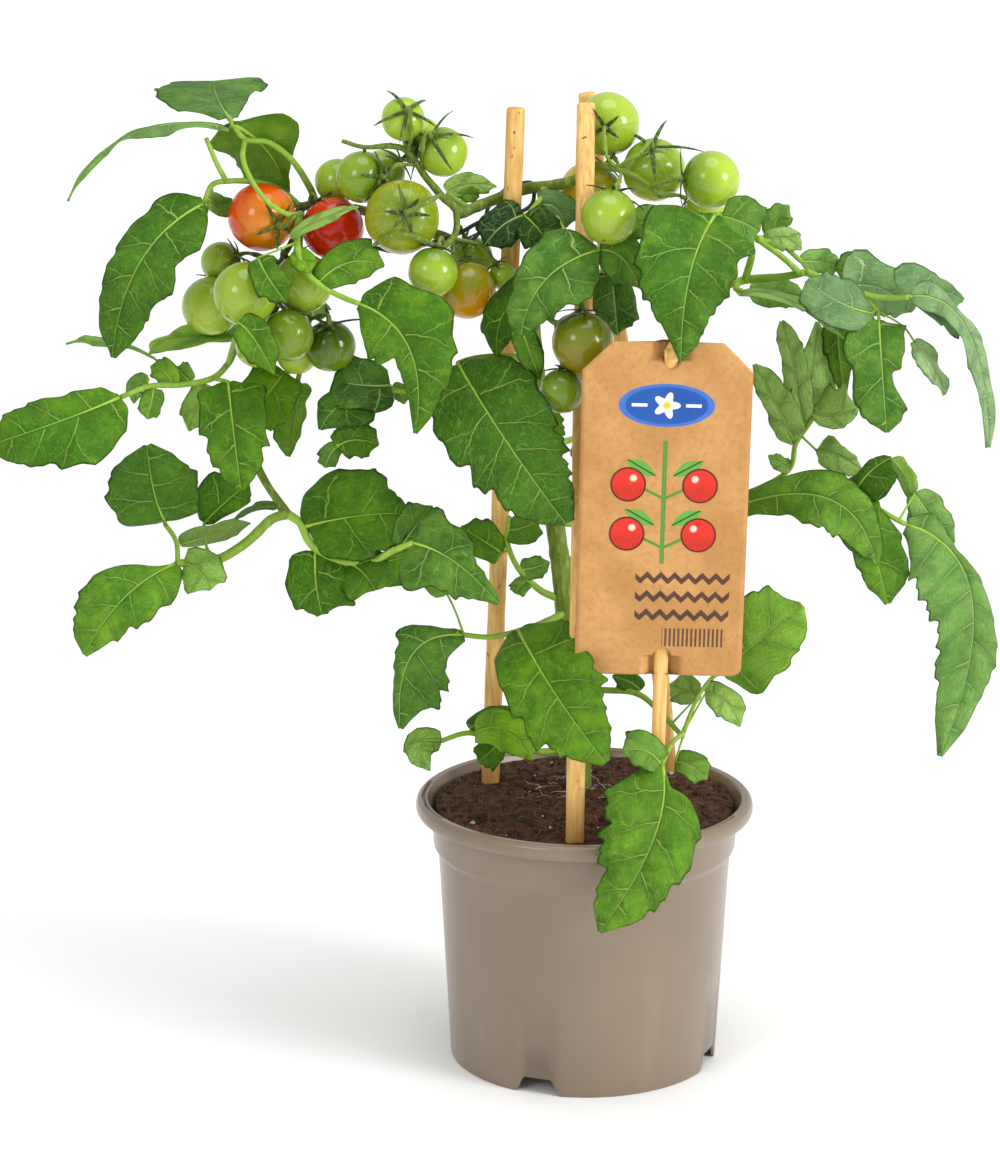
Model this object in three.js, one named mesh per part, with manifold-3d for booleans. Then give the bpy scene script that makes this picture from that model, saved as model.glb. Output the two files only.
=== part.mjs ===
// Cherry tomato plant in a nursery pot: pot, soil, three canes, plant label, vine, leaves and fruit.
// Millimetres, +Z up, origin at the middle of the pot's underside, the front towards -Y.
import * as THREE from 'three';
import { mergeVertices } from 'three/addons/utils/BufferGeometryUtils.js';
import Module from 'manifold-3d';

const wasm = await Module();
wasm.setup();

// ---- driving dimensions ------------------------------------------------------------------------
const POT = {
  height: 112, rimRadius: 70, baseRadius: 55.7, wall: 1.2, floorZ: 7, padRadius: 12,
  // [radius, height] of the outer wall's bends: under the band, at its foot and where the rim overhangs it
  shoulder: [60.6, 89], band: [62.6, 91.5], neck: [63.5, 105.5],
  // the rim's section, [inwards from its widest, below its top]
  rim: [[0.8, 6.5], [0, 4.2], [2.2, 0], [4.8, 0.3]],
  notchAngles: [-21, 69, 159, 249], notchHeight: 7, notchFoot: 20, notchTop: 10,
  drainRadius: 4, drainAt: 40,
};
const SOIL = {
  bottom: 8.6, side: [[54.6, 8.6], [58.8, 88.4], [60.9, 92.6], [61.8, 106]], edgeRadius: 60.7,
  edge: 109.6, middle: 111, slope: 0.012,
};
const CANE = { width: 7.4, chamfer: 1.5 };
const STICK = { width: 5.6, thick: 2.6, bottom: 70 };
const CARD = {
  width: 66, height: 137, thick: 0.5, corner: 11.5, round: 4, shift: -1.3,
  weave: 2.3, slitLow: 10, slitHigh: 125,
};
const TRUNK_RADIUS = { foot: 5.2, top: 2.3 };
const TIE_RADIUS = 0.85;
const CALYX = { spread: 0.5, thick: 0.9 };
const LEAF = { thick: 0.8, fold: 0.16, rooted: 1.5 };
const AROUND = 24; // facets round the pot
const GAP = 0.35; // clearance between neighbours
const SLIVER = 0.1; // cubic millimetres of that clearance that may be lost without a cut
const STEP = 20; // length of one facet along a stem

// The plant is laid out from one viewpoint in front of it. A place is [across, down, depth]: across and
// down are picture coordinates, and depth is millimetres behind (+) or in front of (-) the pot's axis.
const VIEW = { x: -35, y: -1400, z: 557, pitch: 14.23, focal: 3534, centreX: 500, centreY: 584 };

function seen([across, down, depth]) {
  const pitch = THREE.MathUtils.degToRad(VIEW.pitch);
  const right = (across - VIEW.centreX) / VIEW.focal;
  const drop = (down - VIEW.centreY) / VIEW.focal;
  const ray = new THREE.Vector3(
    right,
    Math.cos(pitch) - drop * Math.sin(pitch),
    -Math.sin(pitch) - drop * Math.cos(pitch),
  );
  return ray.multiplyScalar((depth - VIEW.y) / ray.y).add(new THREE.Vector3(VIEW.x, VIEW.y, VIEW.z));
}

// ---- solids --------------------------------------------------------------------------------------
function solid(geometry) {
  geometry.deleteAttribute('normal');
  geometry.deleteAttribute('uv');
  const merged = mergeVertices(geometry, 1e-4);
  const vertProperties = new Float32Array(merged.attributes.position.array);
  const build = (triVerts) => new wasm.Manifold(new wasm.Mesh({ numProp: 3, vertProperties, triVerts }));
  const order = new Uint32Array(merged.index.array);
  const body = build(order);
  return body.volume() > 0 ? body : build(order.reverse());
}

const join = (bodies) => bodies.reduce((whole, body) => whole.add(body));

function largest(body) {
  return body.decompose().sort((a, b) => b.volume() - a.volume())[0];
}

function polygon(sides, radius) {
  const turn = (2 * Math.PI) / sides;
  const corners = Array.from({ length: sides }, (_, i) => new THREE.Vector2(
    radius * Math.cos(i * turn),
    radius * Math.sin(i * turn),
  ));
  return new THREE.Shape(corners);
}

const smooth = (points) => new THREE.CatmullRomCurve3(points, false, 'centripetal');
const stepsOf = (curve, points) => Math.max(points.length - 1, Math.ceil(curve.getLength() / STEP));

// A stem: a polygon carried along a smooth curve, its radius running evenly from start to end.
function tube(points, startRadius, endRadius, grow = 0, sides = 4) {
  const first = points[0].clone().sub(points[1]).setLength(grow).add(points[0]);
  const last = points.at(-1).clone().sub(points.at(-2)).setLength(grow).add(points.at(-1));
  const curve = smooth([first, ...points.slice(1, -1), last]);
  const steps = stepsOf(curve, points);
  const settings = { steps, extrudePath: curve, bevelEnabled: false };
  const geometry = new THREE.ExtrudeGeometry(polygon(sides, 1), settings);
  const rings = curve.getSpacedPoints(steps);
  const place = geometry.attributes.position;
  const point = new THREE.Vector3();
  for (let i = 0; i < place.count; i += 1) {
    point.fromBufferAttribute(place, i);
    const distances = rings.map((ring) => ring.distanceTo(point));
    const nearest = distances.indexOf(Math.min(...distances));
    const radius = THREE.MathUtils.lerp(startRadius, endRadius, nearest / steps) + grow;
    point.sub(rings[nearest]).setLength(radius).add(rings[nearest]);
    place.setXYZ(i, point.x, point.y, point.z);
  }
  return solid(geometry);
}

// A straight bar of a constant outline between two points, its flat front towards the viewer.
function bar(outline, from, to) {
  const along = to.clone().sub(from);
  const geometry = new THREE.ExtrudeGeometry(outline, { depth: along.length(), bevelEnabled: false });
  const z = along.normalize();
  const x = new THREE.Vector3(1, 0, 0).addScaledVector(z, -z.x).normalize();
  const y = new THREE.Vector3().crossVectors(z, x);
  geometry.applyMatrix4(new THREE.Matrix4().makeBasis(x, y, z).setPosition(from));
  return solid(geometry);
}

function chamferedRectangle(width, depth, cut) {
  const [x, y] = [width / 2, depth / 2];
  const corners = [
    [x, -y + cut], [x, y - cut], [x - cut, y], [-x + cut, y],
    [-x, y - cut], [-x, -y + cut], [-x + cut, -y], [x - cut, -y],
  ];
  return new THREE.Shape(corners.map(([u, v]) => new THREE.Vector2(u, v)));
}

// A leaf blade: a thin slab bent along a midrib through base, mid and tip, folded up along the midrib.
function bladeSolid({ base, mid, tip, wide, face }, grow) {
  const [start, middle, end] = [base, mid, tip].map(seen);
  const pull = middle.clone().multiplyScalar(2).addScaledVector(start, -0.5).addScaledVector(end, -0.5);
  const midrib = new THREE.QuadraticBezierCurve3(start, pull, end);
  const length = midrib.getLength();
  const fine = length > 30 && wide > 14;
  const upper = new THREE.Vector3(face[1], -face[0], face[2]);
  const geometry = new THREE.BoxGeometry(1, 1, 1, fine ? 2 : 1, fine ? 3 : 2, 1);
  const place = geometry.attributes.position;
  for (let i = 0; i < place.count; i += 1) {
    const s = place.getY(i) + 0.5;
    const along = midrib.getTangent(s);
    const normal = upper.clone().addScaledVector(along, -upper.dot(along)).normalize();
    const across = new THREE.Vector3().crossVectors(along, normal);
    const half = wide * (0.04 + 0.46 * Math.sin(Math.PI * Math.min(1, s ** 0.75)) ** 0.8) + grow;
    const side = place.getX(i) * 2 * half;
    const rise = LEAF.fold * Math.abs(side) + place.getZ(i) * (LEAF.thick + 2 * grow);
    const reach = (s < 0.01 ? -grow - LEAF.rooted : 0) + (s > 0.99 ? grow : 0);
    const point = midrib.getPoint(s).addScaledVector(along, reach);
    point.addScaledVector(across, side).addScaledVector(normal, rise);
    place.setXYZ(i, point.x, point.y, point.z);
  }
  return solid(geometry);
}

// The point of a set of stems that lies nearest to a place, on the facets that the stems are made of.
function nearestOn(paths, place) {
  const points = paths.flatMap((path) => {
    const rings = smooth(path).getSpacedPoints(stepsOf(smooth(path), path));
    const facets = rings.slice(1).map((ring, i) => new THREE.Line3(rings[i], ring));
    return facets.map((facet) => facet.closestPointToPoint(place, true, new THREE.Vector3()));
  });
  return points.reduce((a, b) => (b.distanceTo(place) < a.distanceTo(place) ? b : a));
}

function meshOf(body) {
  const data = body.getMesh();
  const geometry = new THREE.BufferGeometry();
  geometry.setAttribute('position', new THREE.BufferAttribute(new Float32Array(data.vertProperties), 3));
  geometry.setIndex(new THREE.BufferAttribute(new Uint32Array(data.triVerts), 1));
  return geometry;
}

// ---- the scene: each piece is cut clear of the pieces placed before it -----------------------------
const group = new THREE.Group();
const placed = [];

const finishes = {
  pot: new THREE.MeshStandardMaterial({ color: 0x96867a, roughness: 0.45, metalness: 0 }),
  soil: new THREE.MeshStandardMaterial({ color: 0x32231a, roughness: 0.95, metalness: 0 }),
  cane: new THREE.MeshStandardMaterial({ color: 0xdcb27a, roughness: 0.6, metalness: 0 }),
  card: new THREE.MeshStandardMaterial({ color: 0xb08a66, roughness: 0.8, metalness: 0 }),
  tie: new THREE.MeshStandardMaterial({ color: 0x1c1c1e, roughness: 0.5, metalness: 0 }),
  stem: new THREE.MeshStandardMaterial({ color: 0x7f9a52, roughness: 0.7, metalness: 0 }),
  leaf: new THREE.MeshStandardMaterial({ color: 0x43853a, roughness: 0.6, metalness: 0 }),
  leafDark: new THREE.MeshStandardMaterial({ color: 0x2c5e35, roughness: 0.6, metalness: 0 }),
  green: new THREE.MeshStandardMaterial({ color: 0x8cba3c, roughness: 0.25, metalness: 0 }),
  yellow: new THREE.MeshStandardMaterial({ color: 0xa89a2c, roughness: 0.25, metalness: 0 }),
  orange: new THREE.MeshStandardMaterial({ color: 0xd9801f, roughness: 0.25, metalness: 0 }),
  red: new THREE.MeshStandardMaterial({ color: 0xd3301c, roughness: 0.25, metalness: 0 }),
};

function near(a, b) {
  return [0, 1, 2].every((k) => a.min[k] - 1 < b.max[k] && b.min[k] - 1 < a.max[k]);
}

// make(grow) gives the piece's solid, made bigger all round by grow.
function place(name, finish, make) {
  let body = make(0);
  for (const other of placed) {
    if (near(other.box, body.boundingBox())) {
      const keepOut = other.make(GAP);
      if (body.intersect(keepOut).volume() > SLIVER) body = body.subtract(keepOut);
    }
  }
  body = largest(body);
  placed.push({ make, box: body.boundingBox() });
  const mesh = new THREE.Mesh(meshOf(body), finishes[finish]);
  mesh.name = name;
  group.add(mesh);
}

// ---- pot and soil ----------------------------------------------------------------------------------
function lathe(profile, segments) {
  const points = profile.map(([radius, z]) => new THREE.Vector2(radius, z));
  return new THREE.LatheGeometry(points, segments).rotateX(Math.PI / 2);
}

// A radial cutter at a compass angle from the front: a trapezium outline pushed outwards.
function notch(angle) {
  const [foot, top] = [POT.notchFoot / 2, POT.notchTop / 2];
  const outline = new THREE.Shape([
    new THREE.Vector2(-foot, -1), new THREE.Vector2(foot, -1), new THREE.Vector2(top, POT.notchHeight),
    new THREE.Vector2(-top, POT.notchHeight),
  ]);
  const geometry = new THREE.ExtrudeGeometry(outline, { depth: 12, bevelEnabled: false });
  geometry.translate(0, 0, POT.baseRadius - 8).rotateX(Math.PI / 2);
  return solid(geometry.rotateZ(THREE.MathUtils.degToRad(angle)));
}

function drain(angle) {
  const geometry = new THREE.CylinderGeometry(POT.drainRadius, POT.drainRadius, 6, 8).rotateX(Math.PI / 2);
  geometry.translate(0, -POT.drainAt, POT.floorZ + POT.wall / 2);
  return solid(geometry.rotateZ(THREE.MathUtils.degToRad(angle)));
}

function potSolid() {
  const { baseRadius: base, rimRadius, height, wall, floorZ, padRadius, shoulder, band, neck, rim } = POT;
  const inner = [neck, [band[0], band[1] + wall / 2], [shoulder[0], shoulder[1] + wall / 2]];
  const profile = [
    [0, 0], [padRadius, 0], [padRadius, floorZ], [base - wall, floorZ], [base - wall, 0], [base, 0],
    shoulder, band, neck, ...rim.map(([inwards, below]) => [rimRadius - inwards, height - below]),
    ...inner.map(([radius, z]) => [radius - wall, z]), [base - wall, floorZ + wall], [0, floorZ + wall],
  ];
  const cutters = POT.notchAngles.flatMap((angle) => [notch(angle), drain(angle)]);
  return cutters.reduce((shell, cutter) => shell.subtract(cutter), solid(lathe(profile, AROUND)));
}

function soilSolid() {
  const top = [[SOIL.edgeRadius, SOIL.edge], [0, SOIL.middle]];
  const geometry = lathe([[0, SOIL.bottom], ...SOIL.side, ...top], AROUND);
  const spot = geometry.attributes.position;
  for (let i = 0; i < spot.count; i += 1) {
    const height = spot.getZ(i);
    if (height > SOIL.edge - 1) spot.setZ(i, height + SOIL.slope * spot.getY(i));
  }
  return solid(geometry);
}

// ---- canes and label -------------------------------------------------------------------------------
// Each cane enters the soil beside the wall and stays inside the tapering pot below it.
const canes = {
  cane_left: [new THREE.Vector3(-40.5, 28, 45), new THREE.Vector3(-39, 24, 110), seen([516, 108, 0])],
  cane_front: [new THREE.Vector3(-5, -51.6, 60), new THREE.Vector3(-5, -52, 110), seen([580, 560, -37]),
    seen([586, 103, -2])],
  cane_back: [new THREE.Vector3(34.5, 38.5, 60), new THREE.Vector3(36.5, 41.5, 110), seen([587, 93, 30])],
};
const stickLine = { foot: seen([655, 835, -46]), top: seen([672, 341, -57]) };

// The point where a line from foot to top reaches a height.
function atHeight({ foot, top }, z) {
  return foot.clone().lerp(top, (z - foot.z) / (top.z - foot.z));
}

function caneSolid(points, grow) {
  const end = new THREE.Vector3(0, 0, grow);
  const path = [points[0].clone().sub(end), ...points.slice(1, -1), points.at(-1).clone().add(end)];
  const outline = chamferedRectangle(CANE.width + 2 * grow, CANE.width + 2 * grow, CANE.chamfer);
  const settings = { steps: 2 * (points.length - 1), extrudePath: smooth(path), bevelEnabled: false };
  return solid(new THREE.ExtrudeGeometry(outline, settings));
}

function stickSolid(grow) {
  const outline = chamferedRectangle(STICK.width + 2 * grow, STICK.thick + 2 * grow, 0.6);
  const top = stickLine.top.clone().setZ(stickLine.top.z + grow);
  return bar(outline, atHeight(stickLine, STICK.bottom - grow), top);
}

// The card is an outline with cut top corners, met by a bent sheet that passes behind the stick under the
// lower slit and above the upper one, and in front of it between them.
function cardSolid(grow) {
  const { width, height, thick, corner, round, weave, slitLow, slitHigh, shift } = CARD;
  const half = width / 2 + grow;
  const outline = new THREE.Shape();
  outline.moveTo(-half + round, -grow);
  outline.lineTo(half - round, -grow);
  outline.quadraticCurveTo(half, -grow, half, round);
  outline.lineTo(half, height - corner);
  outline.lineTo(half - corner, height + grow);
  outline.lineTo(-half + corner, height + grow);
  outline.lineTo(-half, height - corner);
  outline.lineTo(-half, round);
  outline.quadraticCurveTo(-half, -grow, -half + round, -grow);
  const blank = new THREE.ExtrudeGeometry(outline, { depth: 12, bevelEnabled: false, curveSegments: 3 });
  blank.translate(shift, 0, -6);
  // bend: [height up the card, offset towards the viewer]
  const bend = [
    [-1, -weave], [slitLow - 2, -weave], [slitLow + 3, weave],
    [slitHigh - 3, weave], [slitHigh + 2, -weave], [height + 1, -weave],
  ];
  const lift = thick / 2 + grow;
  const front = bend.map(([v, off]) => new THREE.Vector2(v, off + lift));
  const back = bend.map(([v, off]) => new THREE.Vector2(v, off - lift)).reverse();
  const settings = { depth: width + 20, bevelEnabled: false };
  const sheet = new THREE.ExtrudeGeometry(new THREE.Shape([...front, ...back]), settings);
  // sheet's u runs up the card, v towards the viewer: turn it so that up is +Y and the viewer is +Z
  const turn = new THREE.Matrix4().makeBasis(
    new THREE.Vector3(0, 1, 0),
    new THREE.Vector3(0, 0, 1),
    new THREE.Vector3(1, 0, 0),
  );
  sheet.applyMatrix4(turn).translate(-width / 2 - 10, 0, 0);
  const up = stickLine.top.clone().sub(stickLine.foot).normalize();
  const across = new THREE.Vector3(1, 0, 0).addScaledVector(up, -up.x).normalize();
  const out = new THREE.Vector3().crossVectors(across, up);
  const foot = stickLine.top.clone().addScaledVector(up, -height);
  const frame = new THREE.Matrix4().makeBasis(across, up, out).setPosition(foot);
  return solid(blank.applyMatrix4(frame)).intersect(solid(sheet.applyMatrix4(frame)));
}

// ---- vine --------------------------------------------------------------------------------------------
const trunk = [
  [578, 748, 12], [575, 700, 12], [566, 612, 10], [556, 530, 12], [545, 450, 14], [537, 370, 16],
  [533, 300, 18], [538, 240, 17], [552, 186, 6],
];
const vine = [
  {
    path: [[552, 186, 6], [525, 189, 11], [506, 195, 11.5], [486, 203, 8], [460, 214, -5]],
    from: 2.3,
    to: 2,
  },
  {
    path: [[552, 186, 6], [575, 180, -1], [586, 172, 1], [595, 166, -3], [616, 168, -5]],
    from: 2.3,
    to: 1.6,
  },
  {
    path: [[533, 290, 18], [505, 272, 20], [472, 250, 22], [430, 232, 18], [380, 215, 14], [350, 208, 20],
      [325, 204, 20], [300, 207, 8]],
    from: 2.3,
    to: 1.9,
  },
  {
    path: [[300, 207, 8], [298, 250, 19], [294, 300, 20], [262, 370, 16], [248, 430, 10], [262, 476, 4],
      [288, 514, -2]],
    from: 1.9,
    to: 1.5,
  },
  {
    path: [[538, 262, 18], [600, 275, 21], [642, 283, 15], [700, 290, 8], [730, 284, 0], [745, 280, 0],
      [788, 276, -8], [806, 272, -12]],
    from: 2.3,
    to: 1.5,
  },
  { path: [[800, 274, -11], [786, 260, -12], [757, 239, -8]], from: 1.3, to: 1 },
];
const tiePath = [
  [372, 247, 6], [400, 252, 4], [430, 243, 0], [453, 236, -2], [480, 222, -4], [500, 216, -3.2],
  [517, 213, -2.5], [529, 207, 2], [534, 197, 9], [532, 183, 14], [520, 184, 16.5], [505, 190, 16.5],
  [490, 205, 13.5], [486, 216, 4], [484, 226, -6], [472, 241, -10],
];

function stems(paths, grow, sides) {
  return join(paths.map(({ path, from, to }) => tube(path.map(seen), from, to, grow, sides)));
}

function vineSolid(grow) {
  const points = trunk.map(seen);
  const root = points[0].clone().setZ(70);
  const main = tube([root, ...points], TRUNK_RADIUS.foot, TRUNK_RADIUS.top, grow, 6);
  return join([main, stems(vine, grow, 5)]);
}

// ---- fruit -------------------------------------------------------------------------------------------
// at: the middle of the fruit; pole: the way its stalk end points (right, back, up).
const fruits = {
  tomato_left_orange: { at: [262, 217, -5], radius: 13.5, pole: [0.5, -0.8, -0.1], finish: 'orange' },
  tomato_left_red: { at: [333, 228, 0], radius: 12.4, pole: [-0.5, 0.3, 0.8], finish: 'red' },
  tomato_left_outer: { at: [211, 306, 0], radius: 11.8, pole: [0.6, 0.5, 0.6], finish: 'green' },
  tomato_left_pale: { at: [245, 294, -22], radius: 12.7, pole: [0.5, 0.6, 0.6], finish: 'green' },
  tomato_left_inner: { at: [303, 283, -10], radius: 11.9, pole: [-0.5, 0.5, 0.7], finish: 'green' },
  tomato_left_low: { at: [288, 335, -20], radius: 10.3, pole: [-0.5, 0.5, 0.75], finish: 'green' },
  tomato_left_dark: { at: [330, 346, -8], radius: 10.3, pole: [0, -0.4, 0.9], finish: 'green' },
  tomato_top_left: { at: [337, 181, 13], radius: 9, pole: [0.9, -0.2, 0.3], finish: 'green' },
  tomato_top_front: { at: [362, 177, -8], radius: 10.3, pole: [0.75, -0.65, 0.1], finish: 'green' },
  tomato_top_pale: { at: [403, 119, -10], radius: 8.6, pole: [0.2, -0.85, 0.45], finish: 'green' },
  tomato_top_right: { at: [443, 152, -10], radius: 9.8, pole: [-0.45, -0.6, 0.65], finish: 'green' },
  tomato_big_olive: { at: [402, 217, -20], radius: 14.7, pole: [0.15, -0.95, 0.25], finish: 'yellow' },
  tomato_mid_green: { at: [433, 272, -30], radius: 9.8, pole: [0.2, 0.3, 0.9], finish: 'green' },
  tomato_mid_orange: { at: [467, 290, -12], radius: 11.5, pole: [-0.35, 0, 0.9], finish: 'orange' },
  tomato_cane_top: { at: [608, 124, 12], radius: 12.7, pole: [-0.12, -0.98, 0], finish: 'green' },
  tomato_right_sepals: { at: [654, 170, 6], radius: 12.6, pole: [-0.1, -0.6, 0.8], finish: 'green' },
  tomato_right_outer: { at: [711, 180, -20], radius: 11.4, pole: [-1, -0.2, 0.1], finish: 'green' },
  tomato_right_front: { at: [609, 217, -27], radius: 11, pole: [0.2, 0.65, 0.75], finish: 'green' },
  tomato_right_yellow: { at: [590, 193, 13.5], radius: 12.7, pole: [0.5, 0, 0.85], finish: 'yellow' },
  tomato_label_olive: { at: [583, 342, -38], radius: 12.2, pole: [0, 0.3, 0.95], finish: 'yellow' },
  tomato_label_green: { at: [562, 391, -38], radius: 8.8, pole: [0, 0.5, 0.85], finish: 'green' },
  tomato_hidden_red: { at: [612, 298, 6], radius: 9.4, pole: [0, 0.5, 0.85], finish: 'red' },
};

// The turn that stands something made along +Y up along a pole.
function turnTo(pole) {
  const out = new THREE.Vector3(...pole).normalize();
  return new THREE.Quaternion().setFromUnitVectors(new THREE.Vector3(0, 1, 0), out);
}

function fruitSolid({ at, radius, pole }, grow) {
  const geometry = new THREE.SphereGeometry(radius + grow, 8, 5);
  geometry.applyQuaternion(turnTo(pole));
  return solid(geometry.translate(...seen(at)));
}

// The five-sided calyx on a fruit's stalk end, flat against it at a distance from its middle.
function calyx({ at, radius, pole }, distance, grow) {
  const reach = radius * CALYX.spread + grow;
  const thick = CALYX.thick + 2 * grow;
  const geometry = new THREE.CylinderGeometry(reach, reach, thick, 5, 1);
  geometry.translate(0, distance + CALYX.thick / 2, 0).applyQuaternion(turnTo(pole));
  return solid(geometry.translate(...seen(at)));
}

// ---- trusses -----------------------------------------------------------------------------------------
// spine: the bare stalks; carries: the fruit that hang on them, each with its own route from the spine;
// small: fruit that belong to the truss itself and are one piece with it.
const trusses = {
  truss_upper_left: {
    spine: [
      {
        path: [[461, 213, -5], [452, 205, -8], [440, 194, -10], [425, 176, -12], [418, 165, -12],
          [404, 149, -12], [391, 146, -12], [364, 147, -10], [342, 141, -8]],
        from: 1.8,
        to: 0.8,
      },
      {
        path: [[456, 209, -7], [456, 232, -12], [442, 247, -20], [425, 241, -30], [408, 235, -37],
          [391, 236, -37], [374, 245, -30]],
        from: 1.5,
        to: 0.8,
      },
    ],
    carries: {
      tomato_top_left: [[364, 147, -10], [366, 160, 3]],
      tomato_top_front: [[418, 165, -12], [395, 166, -20]],
      tomato_top_pale: [[408, 154, -12], [411, 135, -18]],
      tomato_top_right: [[422, 171, -12], [422, 150, -18]],
      tomato_big_olive: [[440, 194, -10], [438, 196, -24], [428, 202, -38]],
      tomato_mid_green: [[444, 246, -19]],
      tomato_mid_orange: [[455, 234, -13]],
    },
    small: [
      { at: [383, 172, 8], radius: 9, pole: [0.7, -0.3, 0.5], route: [[418, 165, -12], [408, 160, 2]] },
      { at: [422, 138, 5], radius: 8.2, pole: [-0.3, -0.8, -0.3], route: [[408, 154, -12]] },
      { at: [472, 258, 8], radius: 8.6, pole: [-0.3, -0.3, 0.9], route: [[456, 222, -10]] },
      { at: [503, 276, -5], radius: 5.6, pole: [-0.5, 0.1, 0.8], route: [[453, 238, -14], [484, 246, -10]] },
    ],
  },
  truss_lower_left: {
    spine: [
      {
        path: [[300, 209, 5], [299, 226, 4], [290, 245, 3], [281, 262, 3], [276, 290, 3], [285, 310, 0],
          [305, 322, -4]],
        from: 1.5,
        to: 0.9,
      },
    ],
    carries: {
      tomato_left_orange: [[300, 213, 5], [302, 214, -10], [294, 217, -21]],
      tomato_left_red: [[300, 211, 5], [309, 203, 6]],
      tomato_left_outer: [[277, 279, 3], [250, 278, 16], [238, 283, 15]],
      tomato_left_pale: [[278, 272, 3]],
      tomato_left_inner: [[281, 262, 3]],
      tomato_left_low: [[278, 298, 2]],
      tomato_left_dark: [[305, 322, -4], [320, 316, -10]],
    },
    small: [
      { at: [221, 262, 9], radius: 8.2, pole: [0.7, -0.3, 0.3], route: [[281, 262, 3], [256, 255, 12]] },
      { at: [256, 347, -5], radius: 8.2, pole: [0.6, 0.4, 0.7], route: [[277, 295, 3], [275, 318, 4]] },
      { at: [297, 353, 6], radius: 8.6, pole: [-0.1, 0.1, 1], route: [[286, 311, 0]] },
    ],
  },
  truss_right: {
    spine: [
      { path: [[616, 168, -5], [632, 175, -8], [647, 184, -10], [660, 197, -12]], from: 1.5, to: 0.9 },
      { path: [[618, 169, -5], [628, 160, -9], [640, 154, -9]], from: 0.9, to: 0.8 },
      { path: [[650, 187, -10], [662, 183, -16], [676, 179, -20]], from: 0.9, to: 0.8 },
    ],
    carries: {
      tomato_cane_top: [[618, 169, -5], [606, 155, -9], [605, 138, -7]],
      tomato_right_sepals: [[640, 154, -9]],
      tomato_right_outer: [[676, 179, -20]],
      tomato_right_front: [[622, 171, -6], [619, 182, -12]],
      tomato_right_yellow: [[621, 170, -6], [616, 160, 4]],
    },
    small: [{ at: [705, 207, -1], radius: 8, pole: [-0.9, 0, 0.4], route: [[660, 197, -12]] }],
  },
  truss_middle: {
    spine: [
      {
        path: [[536, 300, 18], [545, 313, 0], [556, 323, -14], [568, 317, -28], [578, 314, -34]],
        from: 1.5,
        to: 1,
      },
      { path: [[542, 309, 6], [560, 300, 3], [590, 284, 10]], from: 1, to: 0.9 },
    ],
    carries: {
      tomato_label_olive: [[578, 314, -34]],
      tomato_label_green: [[556, 322, -14], [556, 345, -22]],
      tomato_hidden_red: [[590, 284, 10]],
    },
    small: [],
  },
};

function stalkTo(fruit, route, distance, grow) {
  const out = new THREE.Vector3(...fruit.pole).normalize();
  const middle = seen(fruit.at);
  const ends = [4, 0.4].map((lift) => middle.clone().addScaledVector(out, distance + lift));
  return tube([...route.map(seen), ...ends], 0.85, 1, grow);
}

function trussSolid({ spine, carries, small }, grow) {
  const parts = [stems(spine, grow)];
  for (const [name, route] of Object.entries(carries)) {
    const fruit = fruits[name];
    parts.push(stalkTo(fruit, route, fruit.radius + GAP, grow), calyx(fruit, fruit.radius + GAP, grow));
  }
  for (const fruit of small) {
    parts.push(fruitSolid(fruit, grow), calyx(fruit, fruit.radius - 0.5, grow));
    parts.push(stalkTo(fruit, fruit.route, fruit.radius - 0.5, grow));
  }
  return join(parts);
}

// ---- leaves ------------------------------------------------------------------------------------------
// A leaflet: base, mid and tip of its midrib, its width in millimetres, the way its upper side faces
// (towards the viewer, right, up), and the route of its own stalk where that isn't the shortest one.
function leaflet(base, mid, tip, wide, face = [1, 0, 0.3], route = []) {
  return { base, mid, tip, wide, face, route };
}

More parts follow.
